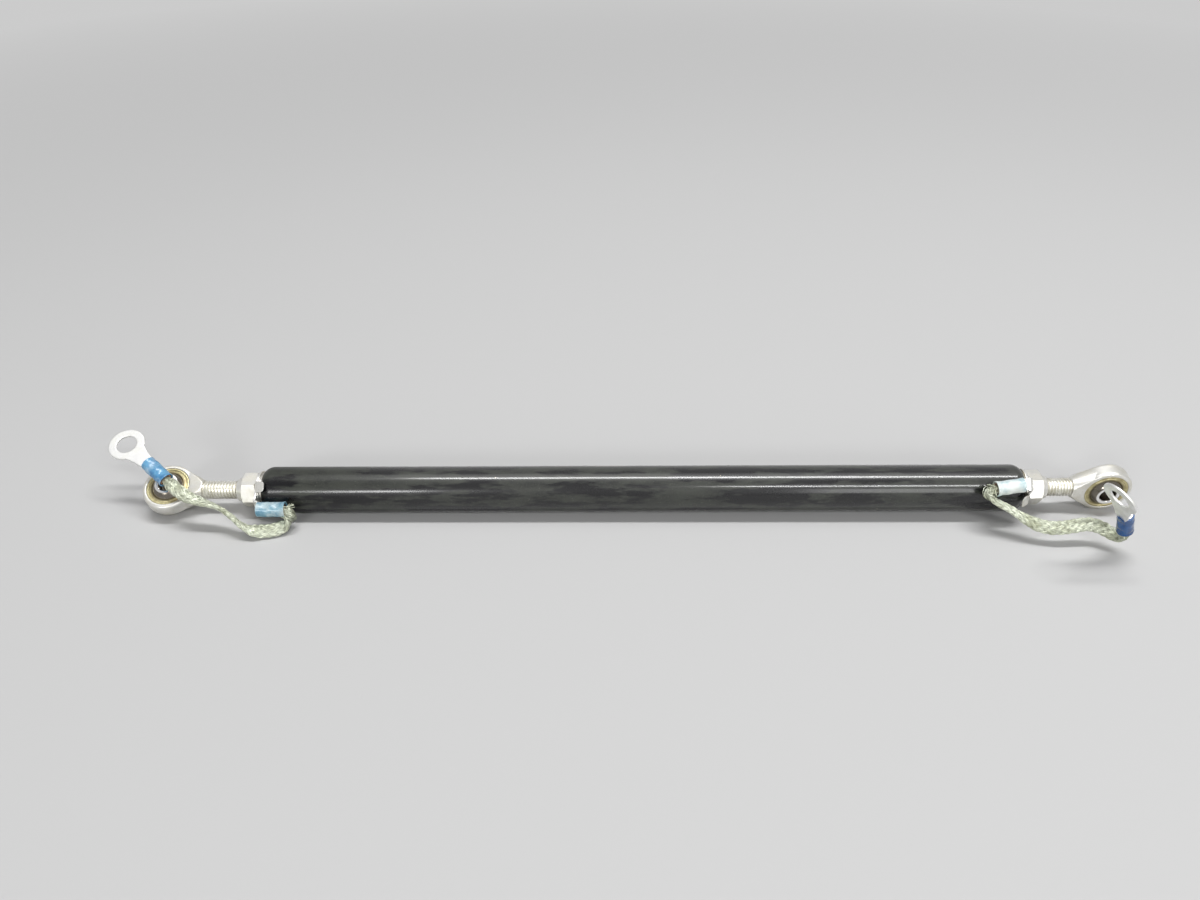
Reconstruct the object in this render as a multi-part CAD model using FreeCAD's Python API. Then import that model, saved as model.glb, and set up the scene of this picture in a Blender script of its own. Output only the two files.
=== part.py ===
"""Aileron control rod: a painted tube with a spherical rod end and a bonding strap at each end.

The rod lies along X. The origin is the centre of the left ball, +X runs to the right ball and
+Z is up as the rod lies on a bench. Clock angles turn about the rod's axis, from straight up
towards -Y, in degrees. Lengths are millimetres.
"""
import FreeCAD, Part
import math
import os

V = FreeCAD.Vector

# tube, swaged down to a rounded shoulder at both ends
TUBE_LENGTH = 246.3
TUBE_RADIUS = 7.5
TUBE_WALL = 1.2
SHOULDER_LENGTH = 3.2
SHOULDER_DROP = 1.9

# threaded end fitting held inside each tube end
FITTING_LENGTH = 24.0
FITTING_BORE_SPARE = 3.0

# screw thread of the rod ends, turned as rings of its true pitch
THREAD_RADIUS = 3.0
THREAD_ROOT_RADIUS = 2.39
THREAD_PITCH = 1.0
CREST_SHARE = 0.14
ROOT_SHARE = 0.24

# rod end: eye, neck and threaded shank
HEAD_RADIUS = 8.2
HEAD_WIDTH = 5.2
HEAD_CHAMFER = 0.45
NECK_LENGTH = 11.3
NECK_RADIUS = 3.15
NECK_FLAT_LENGTH = 6.0
SHANK_END_CHAMFER = 0.7

# bearing: race pressed in the eye, ball free in the race
RACE_RADIUS = 6.75
RACE_WIDTH = 5.0
RACE_CHAMFER = 0.25
BALL_RADIUS = 5.56
BALL_WIDTH = 8.4
BALL_BORE_RADIUS = 2.5
BALL_CHAMFER = 0.3

# jam nut
NUT_ACROSS_FLATS = 10.0
NUT_THICKNESS = 4.9
NUT_CHAMFER_ANGLE = 30.0
NUT_FACE_RADIUS = 4.85
NUT_MOUTH_CHAMFER = 0.35
NUT_COLLAR_LENGTH = 1.9
NUT_COLLAR_RADIUS = 4.1
NUT_COLLAR_TIP_RADIUS = 3.6

# locking washer with one bent tab
WASHER_RADIUS = 6.2
WASHER_THICKNESS = 0.4
TAB_WIDTH = 3.6
TAB_BEND_RADIUS = 0.4
TAB_GAP = 0.3

# ring terminals: stamped ring and barrel, inner sleeve, plastic sleeve
RING_RADIUS = 5.8
RING_HOLE_RADIUS = 3.2
STOCK_THICKNESS = 0.8
RING_NECK_ANGLE = 38.0
TONGUE_WIDTH = 4.3
TONGUE_BEND_RADIUS = 0.6
TONGUE_ROOT_LENGTH = 1.4
FREE_TONGUE_LENGTH = 0.8
BARREL_RADIUS = 1.95
BARREL_LENGTH = 5.4
BARREL_SHOW = 0.2
CRIMP_BORE_RADIUS = 1.23
INNER_SLEEVE_WALL = 0.5
SLEEVE_LENGTH = 9.0
SLEEVE_WALL = 0.4
SLEEVE_LIP = 0.4
TERMINAL_REACH = 21.0

# bonding straps, drawn as a round cord of the braid's metal section
STRAP_RADIUS = 1.2
STRAP_GRIP = 4.5
STRAP_LEAVE = 1.0
STRAP_ARRIVE = 3.0
STRAP_TRIM_SHARE = 0.45

# named clearances
BALL_CLEARANCE = 0.03
THREAD_CLEARANCE = 0.04
SEAT_CLEARANCE = 0.02
STUD_CLEARANCE = 0.05
TERMINAL_REST_GAP = 0.3

# what differs between the two ends
LEFT = {
    "eye_to_nut": 24.6,
    "fitting_collar": 0.6,
    "eye_clock": 22.0,
    "nut_clock": 38.0,
    "tab_clock": 46.0,
    "tab_bend": 76.0,
    "tab_reach": 2.4,
    "terminal_clock": 91.0,
    "terminal_skew": 0.0,
    "tongue_length": 0.3,
}
RIGHT = {
    "eye_to_nut": 21.5,
    "fitting_collar": 0.1,
    "eye_clock": 98.0,
    "nut_clock": 32.0,
    "tab_clock": 85.0,
    "tab_bend": 52.0,
    "tab_reach": 3.0,
    "terminal_clock": 47.0,
    "terminal_skew": -8.0,
    "tongue_length": 2.6,
}

# free terminals: place of the wire end, direction of the barrel, side the ring's back faces
LEFT_FREE = {
    "wire_end": V(1.9, -4.2, 7.1),
    "along": V(-0.762, 0.534, 0.396),
    "face": V(-0.12, -0.28, 0.95),
    "bend": 10.0,
}
RIGHT_FREE = {
    "wire_end": V(301.6, -23.6, 1.4),
    "along": V(-0.35, -0.28, 0.885),
    "face": V(0.80, 0.38, 0.47),
    "bend": 6.0,
}

# points of each strap's free run, between the two straight stretches held in its terminals
LEFT_STRAP_POINTS = [
    V(42.0, -10.7, -2.7),
    V(40.6, -12.2, -4.9),
    V(37.2, -13.4, -5.5),
    V(33.8, -14.1, -5.4),
    V(30.4, -14.6, -4.9),
    V(26.9, -14.2, -3.5),
    V(24.0, -12.9, -1.5),
    V(20.9, -11.2, 0.3),
    V(17.0, -10.4, 1.8),
    V(13.1, -10.2, 3.0),
    V(9.0, -9.3, 4.3),
]
RIGHT_STRAP_POINTS = [
    V(263.4, -9.9, 4.0),
    V(265.6, -11.7, 2.6),
    V(269.6, -12.5, 1.6),
    V(274.1, -14.6, -0.4),
    V(278.6, -16.9, -1.7),
    V(283.2, -18.3, -1.9),
    V(288.2, -18.5, -1.4),
    V(292.4, -17.9, -0.9),
    V(296.0, -18.4, -1.2),
    V(298.7, -19.7, -2.1),
    V(301.4, -21.7, -3.0),
]

INNER_SLEEVE_LENGTH = SLEEVE_LENGTH - BARREL_LENGTH - SLEEVE_LIP - SEAT_CLEARANCE
TONGUE_SIDE = BARREL_RADIUS - STOCK_THICKNESS / 2
SLEEVE_RADIUS = BARREL_RADIUS + SEAT_CLEARANCE + SLEEVE_WALL
TUBE_START = (LEFT["eye_to_nut"] + NUT_THICKNESS + STOCK_THICKNESS + WASHER_THICKNESS
              + LEFT["fitting_collar"])
TUBE_STOP = TUBE_START + TUBE_LENGTH
EYE_TO_EYE = (TUBE_STOP + RIGHT["fitting_collar"] + WASHER_THICKNESS + STOCK_THICKNESS
              + NUT_THICKNESS + RIGHT["eye_to_nut"])


def radial(clock):
    """Unit vector that points out from the rod's axis at a clock angle."""
    turn = math.radians(clock)
    return V(0, -math.sin(turn), math.cos(turn))


def frame_placement(origin, along, up):
    """Placement with local X on along and local Z as near to up as it can be."""
    x_axis = V(along).normalize()
    y_axis = V(up).cross(x_axis).normalize()
    z_axis = x_axis.cross(y_axis)
    matrix = FreeCAD.Matrix(
        x_axis.x, y_axis.x, z_axis.x, origin.x,
        x_axis.y, y_axis.y, z_axis.y, origin.y,
        x_axis.z, y_axis.z, z_axis.z, origin.z,
        0, 0, 0, 1)
    return FreeCAD.Placement(matrix)


def placed(shape, placement):
    """Copy of a shape, moved from the local frame to its place."""
    moved = shape.copy()
    moved.transformShape(placement.toMatrix(), True)
    return moved


def turned(outline):
    """Solid of revolution about X from (x, radius) points."""
    corners = [V(x, 0, r) for x, r in outline]
    wire = Part.makePolygon(corners + corners[:1])
    return Part.Face(wire).revolve(V(0, 0, 0), V(1, 0, 0), 360)


def rod(radius, start, stop):
    """Plain cylinder along X."""
    return Part.makeCylinder(radius, stop - start, V(start, 0, 0), V(1, 0, 0))


def threaded_stud(start, stop, growth=0.0):
    """Stud from start to stop, its rings counted back from stop so that nuts share their phase."""
    crest = THREAD_RADIUS + growth
    root = THREAD_ROOT_RADIUS + growth
    turns = int((stop - start) / THREAD_PITCH)
    first = stop - turns * THREAD_PITCH
    flank = THREAD_PITCH * (1 - CREST_SHARE - ROOT_SHARE) / 2
    outline = [(start, 0), (start, root)]
    for turn in range(turns):
        x = first + turn * THREAD_PITCH + THREAD_PITCH * ROOT_SHARE / 2
        outline += [(x, root), (x + flank, crest),
                    (x + flank + THREAD_PITCH * CREST_SHARE, crest),
                    (x + 2 * flank + THREAD_PITCH * CREST_SHARE, root)]
    outline += [(stop, root), (stop, 0)]
    return turned(outline)


def tube():
    """Hollow tube with a rounded shoulder at each end."""
    arc_radius = (SHOULDER_LENGTH ** 2 + SHOULDER_DROP ** 2) / (2 * SHOULDER_DROP)
    half_turn = math.asin(SHOULDER_LENGTH / arc_radius) / 2

    def skin(outer):
        drop_mid = arc_radius * (1 - math.cos(half_turn))
        length_mid = arc_radius * math.sin(half_turn)
        left = [V(TUBE_START, 0, outer - SHOULDER_DROP),
                V(TUBE_START + SHOULDER_LENGTH - length_mid, 0, outer - drop_mid),
                V(TUBE_START + SHOULDER_LENGTH, 0, outer)]
        right = [V(TUBE_START + TUBE_STOP - p.x, 0, p.z) for p in reversed(left)]
        edges = [
            Part.makeLine(V(TUBE_START, 0, 0), left[0]),
            Part.Arc(*left).toShape(),
            Part.makeLine(left[2], right[0]),
            Part.Arc(*right).toShape(),
            Part.makeLine(right[2], V(TUBE_STOP, 0, 0)),
            Part.makeLine(V(TUBE_STOP, 0, 0), V(TUBE_START, 0, 0)),
        ]
        return Part.Face(Part.Wire(edges)).revolve(V(0, 0, 0), V(1, 0, 0), 360)

    return skin(TUBE_RADIUS).cut(skin(TUBE_RADIUS - TUBE_WALL))


def end_fitting(end):
    """Threaded fitting, built with the tube's end face at x = 0 and the tube on its +X side."""
    mouth = TUBE_RADIUS - SHOULDER_DROP - TUBE_WALL - SEAT_CLEARANCE
    full = TUBE_RADIUS - TUBE_WALL - SEAT_CLEARANCE
    collar = end["fitting_collar"]
    plug = turned([
        (-collar, 0), (-collar, TUBE_RADIUS - SHOULDER_DROP), (0, TUBE_RADIUS - SHOULDER_DROP),
        (0, mouth), (SHOULDER_LENGTH + SEAT_CLEARANCE, mouth),
        (SHOULDER_LENGTH + SEAT_CLEARANCE, full), (FITTING_LENGTH, full), (FITTING_LENGTH, 0)])
    tap = placed(shank_stud(end, THREAD_CLEARANCE), FreeCAD.Placement(
        V(-eye_to_tube(end), 0, 0), FreeCAD.Rotation()))
    tail = rod(THREAD_ROOT_RADIUS, 0, FITTING_LENGTH - FITTING_BORE_SPARE)
    return plug.cut(tap).cut(tail)


def eye_to_tube(end):
    """Distance from an eye's centre to the face of its tube end."""
    return (end["eye_to_nut"] + NUT_THICKNESS + STOCK_THICKNESS + WASHER_THICKNESS
            + end["fitting_collar"])


def shank_stop(end):
    """How far the shank reaches from the eye: some way into the end fitting."""
    return eye_to_tube(end) + FITTING_LENGTH - 2 * FITTING_BORE_SPARE


def shank_stud(end, growth=0.0):
    """Threaded part of a rod end, or the tap that cuts its mating thread."""
    return threaded_stud(NECK_LENGTH, shank_stop(end), growth)


def rod_end_body(end):
    """Eye with its neck and shank: eye centre at the origin, bore along Z, shank along X."""
    head = Part.makeCylinder(HEAD_RADIUS, HEAD_WIDTH, V(0, 0, -HEAD_WIDTH / 2))
    head = head.makeChamfer(HEAD_CHAMFER, head.Edges[:1] + head.Edges[2:3])
    reach = math.hypot(NECK_LENGTH, NECK_RADIUS)
    lean = math.asin(HEAD_RADIUS / reach) - math.atan2(NECK_RADIUS, NECK_LENGTH)
    meet = V(HEAD_RADIUS * math.sin(lean), 0, HEAD_RADIUS * math.cos(lean))
    neck = turned([(0, 0), (0, meet.z), (meet.x, meet.z), (NECK_LENGTH, NECK_RADIUS),
                   (NECK_LENGTH, 0)])
    half = HEAD_WIDTH / 2
    flats = Part.makePolygon([
        V(0, -HEAD_RADIUS, -half), V(NECK_FLAT_LENGTH, -HEAD_RADIUS, -half),
        V(NECK_LENGTH, -HEAD_RADIUS, -NECK_RADIUS), V(NECK_LENGTH, -HEAD_RADIUS, NECK_RADIUS),
        V(NECK_FLAT_LENGTH, -HEAD_RADIUS, half), V(0, -HEAD_RADIUS, half),
        V(0, -HEAD_RADIUS, -half)])
    slab = Part.Face(flats).extrude(V(0, 2 * HEAD_RADIUS, 0))
    stud = shank_stud(end)
    stop = shank_stop(end)
    point = turned([(NECK_LENGTH, 0), (NECK_LENGTH, THREAD_RADIUS + SEAT_CLEARANCE),
                    (stop - SHANK_END_CHAMFER, THREAD_RADIUS + SEAT_CLEARANCE),
                    (stop, THREAD_RADIUS - SHANK_END_CHAMFER), (stop, 0)])
    body = head.fuse([neck.common(slab), stud.common(point)])
    seat = Part.makeCylinder(RACE_RADIUS + SEAT_CLEARANCE, 2 * HEAD_WIDTH, V(0, 0, -HEAD_WIDTH))
    return body.cut(seat).removeSplitter()


def race():
    """Bearing race with a spherical seat, on the bore axis Z."""
    ring = Part.makeCylinder(RACE_RADIUS, RACE_WIDTH, V(0, 0, -RACE_WIDTH / 2))
    ring = ring.makeChamfer(RACE_CHAMFER, ring.Edges[:1] + ring.Edges[2:3])
    return ring.cut(Part.makeSphere(BALL_RADIUS + BALL_CLEARANCE))


def ball():
    """Truncated ball with a bored hole on Z."""
    half = BALL_WIDTH / 2
    flat_radius = math.sqrt(BALL_RADIUS ** 2 - half ** 2)
    slab = Part.makeCylinder(BALL_RADIUS, BALL_WIDTH, V(0, 0, -half))
    rim = flat_radius - BALL_CHAMFER
    edge_cone = Part.makeCone(rim, rim + BALL_RADIUS, BALL_RADIUS, V(0, 0, half), V(0, 0, -1))
    other_cone = Part.makeCone(rim, rim + BALL_RADIUS, BALL_RADIUS, V(0, 0, -half), V(0, 0, 1))
    solid = Part.makeSphere(BALL_RADIUS).common(slab).common(edge_cone.fuse(other_cone))
    solid = solid.cut(Part.makeCylinder(BALL_BORE_RADIUS, 2 * BALL_WIDTH, V(0, 0, -BALL_WIDTH)))
    for side in (1, -1):
        mouth = Part.makeCone(BALL_BORE_RADIUS + BALL_CHAMFER, BALL_BORE_RADIUS, BALL_CHAMFER,
                              V(0, 0, side * half), V(0, 0, -side))
        solid = solid.cut(mouth)
    return solid


def jam_nut(end):
    """Hexagon nut with a conical collar towards the eye, the hexagon from x = eye_to_nut."""
    start = end["eye_to_nut"]
    stop = start + NUT_THICKNESS
    corner = NUT_ACROSS_FLATS / 2 / math.cos(math.pi / 6)
    corners = []
    for k in range(7):
        out = radial(end["nut_clock"] + 60 * k)
        corners.append(V(start, 0, 0) + out * corner)
    prism = Part.Face(Part.makePolygon(corners)).extrude(V(NUT_THICKNESS, 0, 0))
    depth = (corner - NUT_FACE_RADIUS) * math.tan(math.radians(NUT_CHAMFER_ANGLE))
    blank = turned([(start, 0), (start, NUT_FACE_RADIUS), (start + depth, corner),
                    (stop - depth, corner), (stop, NUT_FACE_RADIUS), (stop, 0)])
    tip = start - NUT_COLLAR_LENGTH
    collar = turned([(tip, 0), (tip, NUT_COLLAR_TIP_RADIUS), (start, NUT_COLLAR_RADIUS),
                     (stop - depth, NUT_COLLAR_RADIUS), (stop - depth, 0)])
    nut = prism.common(blank).fuse(collar).cut(shank_stud(end, THREAD_CLEARANCE))
    mouth = THREAD_RADIUS + NUT_MOUTH_CHAMFER
    for x, way in ((tip, 1), (stop, -1)):
        nut = nut.cut(Part.makeCone(mouth, mouth - 2 * NUT_MOUTH_CHAMFER, 2 * NUT_MOUTH_CHAMFER,
                                    V(x, 0, 0), V(way, 0, 0)))
    return nut


def bent_strip(length_before, length_after, bend, inner_radius, thickness, width):
    """Strip in the XZ plane, centred on y = 0: it starts along +X and bends towards -Z.

    Its upper face starts on z = thickness / 2. Returns the solid, where the bend ends and the
    direction that the strip has there.
    """
    turn = math.radians(bend)
    middle = inner_radius + thickness / 2
    centre = V(length_before, 0, -middle)

    def on_arc(angle, radius):
        return centre + V(math.sin(angle) * radius, 0, math.cos(angle) * radius)

    outer = inner_radius + thickness
    along = V(math.cos(turn), 0, -math.sin(turn))
    top = [V(0, 0, thickness / 2), on_arc(0, outer), on_arc(turn / 2, outer), on_arc(turn, outer)]
    low = [V(0, 0, -thickness / 2), on_arc(0, inner_radius), on_arc(turn / 2, inner_radius),
           on_arc(turn, inner_radius)]
    ends = [top[3] + along * length_after, low[3] + along * length_after]
    edges = [
        Part.makeLine(top[0], top[1]), Part.Arc(top[1], top[2], top[3]).toShape(),
        Part.makeLine(top[3], ends[0]), Part.makeLine(ends[0], ends[1]),
        Part.makeLine(ends[1], low[3]), Part.Arc(low[3], low[2], low[1]).toShape(),
        Part.makeLine(low[1], low[0]), Part.makeLine(low[0], top[0]),
    ]
    face = Part.Face(Part.Wire(edges))
    face.translate(V(0, -width / 2, 0))
    return face.extrude(V(0, width, 0)), on_arc(turn, middle), along


def tab_washer(end):
    """Washer between the tube end and the strap's ring, with one tab bent over the shoulder."""
    far = eye_to_tube(end) - end["fitting_collar"]
    near = far - WASHER_THICKNESS
    disc = rod(WASHER_RADIUS, near, far)
    shoulder_top = TUBE_RADIUS + TAB_GAP
    rise = shoulder_top - TAB_BEND_RADIUS - WASHER_THICKNESS / 2
    strip, _, _ = bent_strip(rise, end["tab_reach"], end["tab_bend"], TAB_BEND_RADIUS,
                             WASHER_THICKNESS, TAB_WIDTH)
    out = radial(end["tab_clock"])
    strip = placed(strip, frame_placement(V((near + far) / 2, 0, 0), out, V(-1, 0, 0)))
    hole = rod(THREAD_RADIUS + STUD_CLEARANCE, near - WASHER_THICKNESS, far + WASHER_THICKNESS)
    return disc.fuse(strip).cut(hole).removeSplitter()


def terminal_metal(bend, tongue_length, flat_length, skew):
    """Ring and barrel in one stamping: wire end at the origin, barrel along X, ring on -Z.

    The tongue bends at tongue_length in front of the sleeve. Skew turns it aside in its plane.
    """
    front = SLEEVE_LENGTH
    barrel = rod(BARREL_RADIUS, front - BARREL_LENGTH, front + BARREL_SHOW)
    start = front - TONGUE_ROOT_LENGTH
    strip, bend_end, along = bent_strip(
        TONGUE_ROOT_LENGTH + tongue_length, flat_length / 2, bend, TONGUE_BEND_RADIUS,
        STOCK_THICKNESS, TONGUE_WIDTH)
    shift = V(start, 0, -TONGUE_SIDE)
    strip.translate(shift)
    bend_end = bend_end + shift
    ring = Part.makeCylinder(RING_RADIUS, STOCK_THICKNESS, V(0, 0, -STOCK_THICKNESS / 2))
    half = TONGUE_WIDTH / 2
    spread = math.radians(RING_NECK_ANGLE)
    meet = V(-RING_RADIUS * math.cos(spread), RING_RADIUS * math.sin(spread), 0)
    neck = Part.makePolygon([
        V(-flat_length, -half, 0), V(meet.x, -meet.y, 0), meet, V(-flat_length, half, 0),
        V(-flat_length, -half, 0)])
    neck = Part.Face(neck).extrude(V(0, 0, STOCK_THICKNESS))
    neck.translate(V(0, 0, -STOCK_THICKNESS / 2))
    plate = ring.fuse(neck).cut(
        Part.makeCylinder(RING_HOLE_RADIUS, 2 * STOCK_THICKNESS, V(0, 0, -STOCK_THICKNESS)))
    up = V(math.sin(math.radians(bend)), 0, math.cos(math.radians(bend)))
    plate = placed(plate, frame_placement(bend_end + along * flat_length, along, up))
    tongue = strip.fuse(plate)
    tongue.rotate(V(front + tongue_length, 0, 0), V(0, 0, 1), skew)
    stop = front + SEAT_CLEARANCE
    tongue = tongue.cut(rod(RING_RADIUS, 0, stop).cut(rod(BARREL_RADIUS, 0, stop)))
    bore = rod(CRIMP_BORE_RADIUS, 0, front + BARREL_SHOW)
    return barrel.fuse(tongue).cut(bore).removeSplitter()


def terminal_inner_sleeve():
    """Short copper sleeve that grips the braid behind the barrel."""
    outer = rod(BARREL_RADIUS, SLEEVE_LIP, SLEEVE_LIP + INNER_SLEEVE_LENGTH)
    return outer.cut(rod(BARREL_RADIUS - INNER_SLEEVE_WALL, 0, SLEEVE_LENGTH))


def terminal_sleeve():
    """Plastic sleeve over both, with a thin lip turned in at the wire end."""
    outer = rod(SLEEVE_RADIUS, 0, SLEEVE_LENGTH)
    outer = outer.makeFillet(SLEEVE_WALL / 2, [outer.Edges[0], outer.Edges[2]])
    hollow = rod(BARREL_RADIUS + SEAT_CLEARANCE, SLEEVE_LIP - SEAT_CLEARANCE, 2 * SLEEVE_LENGTH)
    mouth = rod(BARREL_RADIUS - INNER_SLEEVE_WALL, -SLEEVE_LIP, SLEEVE_LIP)
    return outer.cut([hollow, mouth])


def clamped_placement(end, mirrored):
    """Place of the terminal that the nut clamps, and the length of its flat down to the stud."""
    out = radial(end["terminal_clock"])
    standoff = TUBE_RADIUS + SLEEVE_RADIUS + TERMINAL_REST_GAP
    bend = TONGUE_BEND_RADIUS + STOCK_THICKNESS / 2
    bend_start = end["eye_to_nut"] + NUT_THICKNESS + STOCK_THICKNESS / 2 + bend
    x = EYE_TO_EYE - bend_start if mirrored else bend_start
    along = V(1, 0, 0) if mirrored else V(-1, 0, 0)
    along = FreeCAD.Rotation(out, -end["terminal_skew"]).multVec(along)
    wire_end = V(x, 0, 0) + out * standoff - along * (SLEEVE_LENGTH + end["tongue_length"])
    return frame_placement(wire_end, along, out), standoff - TONGUE_SIDE - bend


def free_placement(free):
    """Place of a strap's loose terminal."""
    return frame_placement(free["wire_end"], free["along"], free["face"])


def free_flat_length(free):
    """Length of a loose terminal's flat, so that its ring centre is at the stated reach."""
    turn = math.radians(free["bend"])
    middle = TONGUE_BEND_RADIUS + STOCK_THICKNESS / 2
    return TERMINAL_REACH - SLEEVE_LENGTH - FREE_TONGUE_LENGTH - middle * math.sin(turn)


def cord(points, radius, name):
    """Round cord on straight runs joined by tangent arcs, each as large as its runs allow."""
    edges = []
    tangents = []
    length = 0.0
    for before, corner, after in zip(points, points[1:], points[2:]):
        back = (before - corner).normalize()
        ahead = (after - corner).normalize()
        turn = math.pi - back.getAngle(ahead)
        trim = STRAP_TRIM_SHARE * min((corner - before).Length, (after - corner).Length)
        bend = trim / math.tan(turn / 2)
        middle = (back + ahead).normalize()
        centre = corner + middle * (bend / math.cos(turn / 2))
        tangents.append((corner + back * trim, centre - middle * bend, corner + ahead * trim))
        length += bend * turn
        print(name, "turn", round(math.degrees(turn), 1), "radius", round(bend, 2))
    here = points[0]
    for start, middle, stop in tangents:
        edges.append(Part.LineSegment(here, start).toShape())
        edges.append(Part.Arc(start, middle, stop).toShape())
        length += (start - here).Length
        here = stop
    edges.append(Part.LineSegment(here, points[-1]).toShape())
    length += (points[-1] - here).Length
    path = Part.Wire(edges)
    section = Part.Wire(Part.makeCircle(radius, points[0], points[1] - points[0]))
    solid = path.makePipeShell([section], True, False)
    expected = math.pi * radius ** 2 * length
    print(name, "length", round(length, 2), "volume over section times length",
          round(solid.Volume / expected, 5))
    return solid


def strap(clamped, free, run, name):
    """Strap from inside its clamped terminal, along its free run, to inside its loose one."""
    first = clamped.multVec(V(STRAP_GRIP, 0, 0))
    leave = clamped.multVec(V(-STRAP_LEAVE, 0, 0))
    arrive = free.multVec(V(-STRAP_ARRIVE, 0, 0))
    last = free.multVec(V(STRAP_GRIP, 0, 0))
    return cord([first, leave] + run + [arrive, last], STRAP_RADIUS, name)


def build():
    """All pieces of the rod, by node name."""
    pieces = {"tube": tube()}
    flip = FreeCAD.Placement(V(EYE_TO_EYE, 0, 0), FreeCAD.Rotation(V(0, 0, 1), 180))
    for side, end, free, run in (("left", LEFT, LEFT_FREE, LEFT_STRAP_POINTS),
                                 ("right", RIGHT, RIGHT_FREE, RIGHT_STRAP_POINTS)):
        mirrored = side == "right"
        # the right end is the left one turned about Z, which reverses its clock angles
        local = dict(end)
        if mirrored:
            for key in ("eye_clock", "nut_clock", "tab_clock"):
                local[key] = -end[key]
        place = flip if mirrored else FreeCAD.Placement()
        tilt = FreeCAD.Placement(V(0, 0, 0), FreeCAD.Rotation(V(1, 0, 0), local["eye_clock"]))
        eye = place.multiply(tilt)
        fitting = FreeCAD.Placement(V(eye_to_tube(end), 0, 0), FreeCAD.Rotation())
        pieces[side + "_end_fitting"] = placed(end_fitting(end), place.multiply(fitting))
        pieces[side + "_rod_end_body"] = placed(rod_end_body(end), eye)
        pieces[side + "_race"] = placed(race(), eye)
        pieces[side + "_ball"] = placed(ball(), eye)
        pieces[side + "_jam_nut"] = placed(jam_nut(local), place)
        pieces[side + "_tab_washer"] = placed(tab_washer(local), place)
        clamped, flat = clamped_placement(end, mirrored)
        loose = free_placement(free)
        clamped_metal = terminal_metal(90.0, end["tongue_length"], flat, end["terminal_skew"])
        loose_metal = terminal_metal(free["bend"], FREE_TONGUE_LENGTH, free_flat_length(free), 0.0)
        for name, where, metal in (("clamped", clamped, clamped_metal),
                                   ("free", loose, loose_metal)):
            stem = side + "_" + name + "_terminal"
            pieces[stem] = placed(metal, where)
            pieces[stem + "_inner_sleeve"] = placed(terminal_inner_sleeve(), where)
            pieces[stem + "_sleeve"] = placed(terminal_sleeve(), where)
        pieces[side + "_bond_strap"] = strap(clamped, loose, run, side + "_bond_strap")
    return pieces


os.makedirs("parts", exist_ok=True)
for node, shape in build().items():
    box = shape.BoundBox
    print(node, "solids", len(shape.Solids), "valid", shape.isValid(),
          "volume", round(shape.Volume, 2), "lowest", round(box.ZMin, 2))
    shape.exportStep("parts/" + node + ".step")
print("eye to eye", round(EYE_TO_EYE, 2), "tube from", round(TUBE_START, 2),
      "to", round(TUBE_STOP, 2))
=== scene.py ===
# %% [markdown]
# # An aileron control rod
# The rod is a black painted tube with a spherical rod end screwed in at each end. A jam nut locks each
# rod end and clamps two thin things against the tube: a tab washer and the ring of a braided bonding
# strap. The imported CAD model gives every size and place. This lesson builds the looks around it.

import math
import random

import bmesh
import bpy
from mathutils import Matrix, Vector, noise


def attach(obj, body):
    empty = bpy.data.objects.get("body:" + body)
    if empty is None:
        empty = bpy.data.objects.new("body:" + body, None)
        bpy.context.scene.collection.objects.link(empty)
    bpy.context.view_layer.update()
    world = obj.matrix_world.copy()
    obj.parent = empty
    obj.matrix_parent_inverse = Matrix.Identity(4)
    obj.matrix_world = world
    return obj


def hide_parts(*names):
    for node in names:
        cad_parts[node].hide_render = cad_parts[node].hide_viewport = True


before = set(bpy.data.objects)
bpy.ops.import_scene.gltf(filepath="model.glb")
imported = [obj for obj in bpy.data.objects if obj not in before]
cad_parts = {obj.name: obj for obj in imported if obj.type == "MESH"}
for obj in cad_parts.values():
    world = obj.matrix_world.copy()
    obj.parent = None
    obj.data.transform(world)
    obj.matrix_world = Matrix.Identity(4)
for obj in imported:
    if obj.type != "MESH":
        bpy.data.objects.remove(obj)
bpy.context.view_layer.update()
MM = 0.001

# %% [markdown]
# ## The camera
# A camera is easiest to trust when its numbers come from the picture. The weave of the cloth under the
# rod gives the tilt and the focal length, and the rod's two eyes give the distance. The picture is
# 1200 pixels wide, so a focal length in pixels becomes millimetres on a 36 mm sensor.

# %% Place the camera
PICTURE_WIDTH = 1200
FOCAL_PIXELS = 990
SENSOR_WIDTH = 36.0
CAMERA_PLACE = Vector((140.6, -258.2, 196.2)) * MM
CAMERA_DOWN = math.radians(35.0)
CAMERA_ROLL = math.radians(0.2)


def added(name, data):
    """A new object in the scene."""
    thing = bpy.data.objects.new(name, data)
    bpy.context.scene.collection.objects.link(thing)
    return thing


def add_camera():
    """A camera that looks along +Y and down, rolled a little."""
    data = bpy.data.cameras.new("camera")
    data.sensor_width = SENSOR_WIDTH
    data.lens = FOCAL_PIXELS / PICTURE_WIDTH * SENSOR_WIDTH
    camera = added("camera", data)
    camera.location = CAMERA_PLACE
    tilt = Matrix.Rotation(math.pi / 2 - CAMERA_DOWN, 3, "X")
    roll = Matrix.Rotation(-CAMERA_ROLL, 3, "Z")
    camera.rotation_euler = (tilt @ roll).to_euler()
    bpy.context.scene.camera = camera
    return camera


camera = add_camera()
print("lens", round(camera.data.lens, 2), "mm")

# %% [markdown]
# ## Sizes that several pieces share
# The part's own source works in millimetres with named values, and the same values are used here.
# A clock angle turns about the rod, from straight up towards the viewer's side.

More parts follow.
